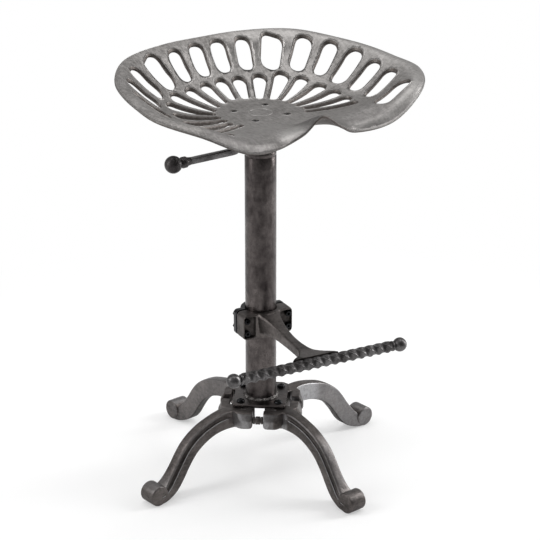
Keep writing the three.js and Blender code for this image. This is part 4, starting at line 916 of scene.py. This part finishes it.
SINK_RADIUS, SINK_DEPTH, SINK_POINTS = 3.3, 2.9, 28
around = np.arange(SINK_POINTS) * 2 * pi / SINK_POINTS
sink = SINK_RADIUS * np.stack([np.cos(around), np.sin(around)], 1)
for way in ((1, 1), (1, -1), (-1, 1), (-1, -1)):
    middle = SCREW_ACROSS * np.array(way)
    holes.append((middle + sink, np.full(SINK_POINTS, SINK_DEPTH), SINK_DEPTH, SINK_STEPS))

SECTIONS = 540
spokes = np.arange(SECTIONS) * 2 * pi / SECTIONS
spoke_way = np.stack([np.sin(spokes), np.cos(spokes)], 1)[::-1]
spoke_rim = rim_radius(pan_place(*spoke_way.T)[0])
rim_line = spoke_way * spoke_rim[:, None]
mouths = [edge + outward(edge) * width[:, None] for edge, width, _, _ in holes]
near_rim = (0.895, 0.915, 0.935, 0.952, 0.968, 0.984)
face_points = [spoke_way * (PAD_RADIUS + (spoke_rim - PAD_RADIUS) * t)[:, None] for t in near_rim]
spacing = 3.5
grid_x, grid_y = np.meshgrid(np.arange(-270, 270, spacing), np.arange(-270, 270, spacing * 0.866))
grid_x[1::2] += spacing / 2
spread = np.stack([grid_x.ravel(), grid_y.ravel()], 1)
spread = spread[pan_place(*spread.T)[1] < 0.88]
face_points = np.vstack([*face_points, spread])
keep = np.ones(len(face_points), bool)
for mouth in mouths:
    keep &= ~within(mouth + outward(mouth) * 1.7, face_points)
face_points = face_points[keep]
sheet = np.vstack([rim_line, *mouths, face_points])
limits, count = [], 0
for line in (rim_line, *mouths):
    n = len(line)
    limits += [(count + k, count + (k + 1) % n) for k in range(n)]
    count += n
found = delaunay_2d_cdt([Vector(p) for p in sheet.tolist()], limits, [], 0, 1e-7)
if [ids[0] for ids in found[3]] != [*range(len(sheet))]:
    raise RuntimeError("the face of the pan did not keep its points")
sheet_faces = np.array(found[2])
middle = sheet[sheet_faces].mean(1)
whole_face = within(rim_line, middle)
for mouth in mouths:
    whole_face &= ~within(mouth, middle)
sheet_faces = sheet_faces[whole_face]

angle, share, radius = pan_place(*sheet.T)
face_z = pan_top(*sheet.T)
inner_share = np.maximum(0, share - 0.004)
apart = np.maximum(1e-6, (share - inner_share) * (rim_radius(angle) - PAD_RADIUS))
climb = np.where(share > 0, (pan_height(angle, share) - pan_height(angle, inner_share)) / apart, 0)
length = np.hypot(1, climb)
square_on = ramp(0.9, 0.985, share)
under_r = radius + square_on * PAN_WALL * climb / length
under_z = (1 - square_on) * pan_under(*sheet.T) + square_on * (face_z - PAN_WALL / length)
stretch = (under_r / np.maximum(radius, 1e-6))[:, None]
pan_points = [np.column_stack([sheet, face_z]), np.column_stack([sheet * stretch, under_z])]
pan_skin_and_shade = [np.zeros(len(sheet)), np.ones(len(sheet))]
pan_wear_and_sheen = [np.zeros(len(sheet)), np.zeros(len(sheet))]
# Wear and a painted highlight along the mouths of the holes.
pan_wear_and_sheen[0][len(rim_line):count] = 0.2
pan_faces = [tuple(f) for f in sheet_faces.tolist()] + [tuple(f[::-1]) for f in (sheet_faces + len(sheet)).tolist()]
total = 2 * len(sheet)


def add_rows(rows, first, last):
    """Strips of faces from the loop of points numbered first, over the added rows, to the loop numbered last."""
    global total
    n = len(first)
    loops = [first]
    for points, polish, wear_and_sheen in rows:
        pan_points.append(points)
        pan_skin_and_shade.append(np.full(n, 1 - polish))
        pan_wear_and_sheen.append(np.full(n, wear_and_sheen))
        loops.append(np.arange(total, total + n))
        total += n
    for upper, lower in zip(loops, [*loops[1:], last]):
        pan_faces.extend(
            (int(upper[k]), int(lower[k]), int(lower[(k + 1) % n]), int(upper[(k + 1) % n])) for k in range(n)
        )


top_rim, under_rim = pan_points[0][:SECTIONS], pan_points[1][:SECTIONS]
tip, spoke = (top_rim + under_rim) / 2, (top_rim - under_rim) / 2
out_way = np.column_stack([spoke_way * np.abs(spoke[:, 2:]), -np.sum(spoke[:, :2] * spoke_way, 1)])
# The rolled edge of the rim darkens from its top to its underside with cast skin and painted shade, for a dark
# outline.
nose = [
    ((tip + spoke * cos(t) + out_way * 0.6 * sin(t))[::-1], 0.9 if t < 0.5 else 0.35 if t < 0.9 else 0, 0)
    for t in np.linspace(0, pi, 9)[1:-1]
]
backwards = np.arange(SECTIONS)[::-1]
add_rows(nose, backwards, backwards + len(sheet))
start = SECTIONS
# The walls of the holes darken downwards with cast skin and painted shade; the mouth's edge gets wear and a painted
# highlight.
for (edge, width, depth, steps), mouth in zip(holes, mouths):
    away, rows_down = outward(edge), []
    for out, down, polish in steps:
        p = edge + away * (width * out)[:, None]
        top = pan_top(*p.T)
        drop = np.minimum(depth * down * pan_slant(*p.T), 0.86 * (top - pan_under(*p.T)))
        rows_down.append((np.column_stack([p, top - drop]), polish, 0.15 if out > 0.9 else 0))
    for out, lift in ((0, 0.7), (0.25, 0.2), (0.7, 0)):
        p = edge + away * out
        rows_down.append((np.column_stack([p, pan_under(*p.T) + lift]), 0, 0))
    loop = np.arange(start, start + len(edge))
    add_rows(rows_down, loop, loop + len(sheet))
    start += len(edge)

# Its marks: a dark grey for painted shade on dull places, a light grey for wear and painted highlights, a dark brown
# for cast skin and painted shade.
seat_iron = metal(
    "burnished grey iron", (0.275, 0.264, 0.257), (0.17, 0.162, 0.156), 0.49, mottle=11, grain=520, bump=0.16,
    brush=0.34, marks=(
        ("dull_and_shade", (0.105, 0.1, 0.098), 0.62), ("wear_and_sheen", (0.42, 0.41, 0.4), 0.4), ("cast_skin_and_shade", (0.1, 0.087, 0.08), 0.55),
    ),
)
low, high = (np.array(c) * 1000 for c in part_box("seat_pan"))
every = np.vstack(pan_points)
seat_mesh = bpy.data.meshes.new("seat_pan")
seat_mesh.from_pydata((np.clip(every, low, high) / 1000).tolist(), [], pan_faces)
# Painted shade and more roughness on the raised front and the lips of the thigh lobes; painted highlights on the left
# lobe where it rises to the front and on the right side along its edge.
angle, share, _ = pan_place(every[:, 0], every[:, 1])
left = every[:, 0] < 0
rise = np.where(left, ramp(168, 176, angle), ramp(146, 172, angle))
lip = band(122, 132, 150, 160, angle)
dull_and_shade = np.maximum.reduce([
    0.95 * rise * ramp(0.25, 0.75, share),
    0.55 * left * lip * ramp(0.78, 0.94, share),
    0.5 * ~left * lip * band(0.66, 0.8, 0.88, 0.95, share),
])
pan_wear_and_sheen = np.maximum.reduce([
    np.concatenate(pan_wear_and_sheen),
    0.6 * left * band(154, 161, 167, 174, angle) * band(0.56, 0.8, 0.94, 1.02, share),
    0.34 * ~left * band(8, 30, 105, 125, angle) * ramp(0.8, 0.92, share),
    0.4 * ~left * band(112, 122, 148, 158, angle) * ramp(0.86, 0.97, share),
    0.52 * ~left * band(108, 120, 132, 140, angle) * ramp(0.82, 0.92, share),
])
for title, values in (("cast_skin_and_shade", np.concatenate(pan_skin_and_shade)), ("wear_and_sheen", pan_wear_and_sheen), ("dull_and_shade", dull_and_shade)):
    marked(seat_mesh, title, values)
seat_mesh.shade_smooth()
fitted(placed("seat_pan", seat_mesh), seat_iron, "seat", "seat_iron", "seat_pan")

# Ring on the pad: a fine raised line of the same iron, which the casting keeps in its middle from its mould and
# which wear has rubbed bright, with a painted highlight.
witness = [(18, -0.8), (18, 0.2), (18.3, 0.45), (18.9, 0.45), (19.2, 0.2), (19.2, -0.8)]
mark = piece_of("pad_ring", turned([(r, PAD_TOP + z) for r, z in witness], 96), smooth_below=60)
marked(mark.data, "wear_and_sheen", np.full(len(mark.data.vertices), 0.7))
fitted(mark, seat_iron, "seat", "seat_iron")

# Seat screws: four black steel screws with a countersunk head and a hexagon socket, which hold the pan to the
# mount.
SCREW_FACE = PAD_TOP - 0.6
countersunk = [(0, -19.4), (3, -19.4), (3, -2.6), (5.5, -0.3), (5.7, 0), (0, 0)]
seat_screw = socket_screw([(r, SCREW_FACE + z) for r, z in countersunk], 4, 2.4, SCREW_FACE)
seat_screws = piece_of("seat_screws", moved(seat_screw, (43, 0, 0)), smooth_below=40)
ring_of(seat_screws, black_steel, 4, 45)
fitted(seat_screws, black_steel, "seat", "black_steel", *four("seat_screw"))

# Studio: a plain white floor, a white surround that is darker in front, so that the metal has something dark to
# mirror, soft lamps from both sides and above, and the camera at the photograph's angle.
white_floor = bpy.data.materials.new("white floor")
white_floor.use_nodes = True
tree = white_floor.node_tree
shader = tree.nodes["Principled BSDF"]
shader.inputs["Base Color"].default_value = (0.95, 0.95, 0.95, 1)
shader.inputs["Roughness"].default_value = 0.9
place = added(tree, "TexCoord", give="Object")
from_middle = added(tree, "VectorMath", place, give="Value", settings={"operation": "LENGTH"})
far_share = added(tree, "MapRange", from_middle, 0.3, 1.0, 0.4, 1)
white_share = maths(tree, "MULTIPLY", far_share, added(tree, "LightPath", give="Is Camera Ray"))
seen = added(tree, "MixShader", white_share, shader.outputs["BSDF"], added(tree, "Emission"))
tree.links.new(seen, tree.nodes["Material Output"].inputs["Surface"])
floor_mesh = bpy.data.meshes.new("floor")
floor_mesh.from_pydata([(-14, -14, 0), (14, -14, 0), (14, 14, 0), (-14, 14, 0)], [], [(0, 1, 2, 3)])
floor_mesh.materials.append(white_floor)
placed("floor", floor_mesh)

sky = bpy.data.worlds.new("studio")
bpy.context.scene.world = sky
sky.use_nodes = True
tree = sky.node_tree
sky_light = tree.nodes["Background"]
sky_light.inputs["Color"].default_value = (1, 1, 1, 1)
way = added(tree, "TexCoord", give="Generated")
DARK_WAY = (0.0, -0.98, 0.2)
to_front = added(tree, "VectorMath", way, DARK_WAY, give="Value", settings={"operation": "DOT_PRODUCT"})
smooth = {"interpolation_type": "SMOOTHSTEP"}
level = added(tree, "MapRange", to_front, 0.45, 0.9, 0.54, 0.16, settings=smooth)
seen = maths(tree, "MAXIMUM", level, added(tree, "LightPath", give="Is Camera Ray"))
tree.links.new(seen, sky_light.inputs["Strength"])


def lamp(name, place, size, power):
    """A soft lamp that looks at the middle of the stool."""
    light = bpy.data.lights.new(name, "AREA")
    light.shape = "RECTANGLE"
    light.size, light.size_y = size
    light.energy = power
    holder = placed(name, light)
    holder.location = place
    holder.rotation_euler = (Vector((0, 0, 0.35)) - Vector(place)).to_track_quat("-Z", "Y").to_euler()


SOFTBOX = (0.6, 1.9)
lamp("right softbox", (2.0, -0.75, 1.2), SOFTBOX, 38)
lamp("left softbox", (-1.8, 0.45, 1.3), SOFTBOX, 20)
lamp("overhead", (0.2, 0.3, 2.6), (2.0, 2.0), 24)

CAMERA_PLACE = (-1.7145, -2.4688, 1.55776)
CAMERA_DOWN = 0.383
CAMERA_TURN = -0.612
view = bpy.data.cameras.new("camera")
view.lens = 133.24
view.sensor_width = 36
camera = placed("camera", view)
camera.location = CAMERA_PLACE
camera.rotation_euler = (pi / 2 - CAMERA_DOWN, 0, CAMERA_TURN)
bpy.context.scene.camera = camera
bpy.context.scene.view_settings.view_transform = "Standard"
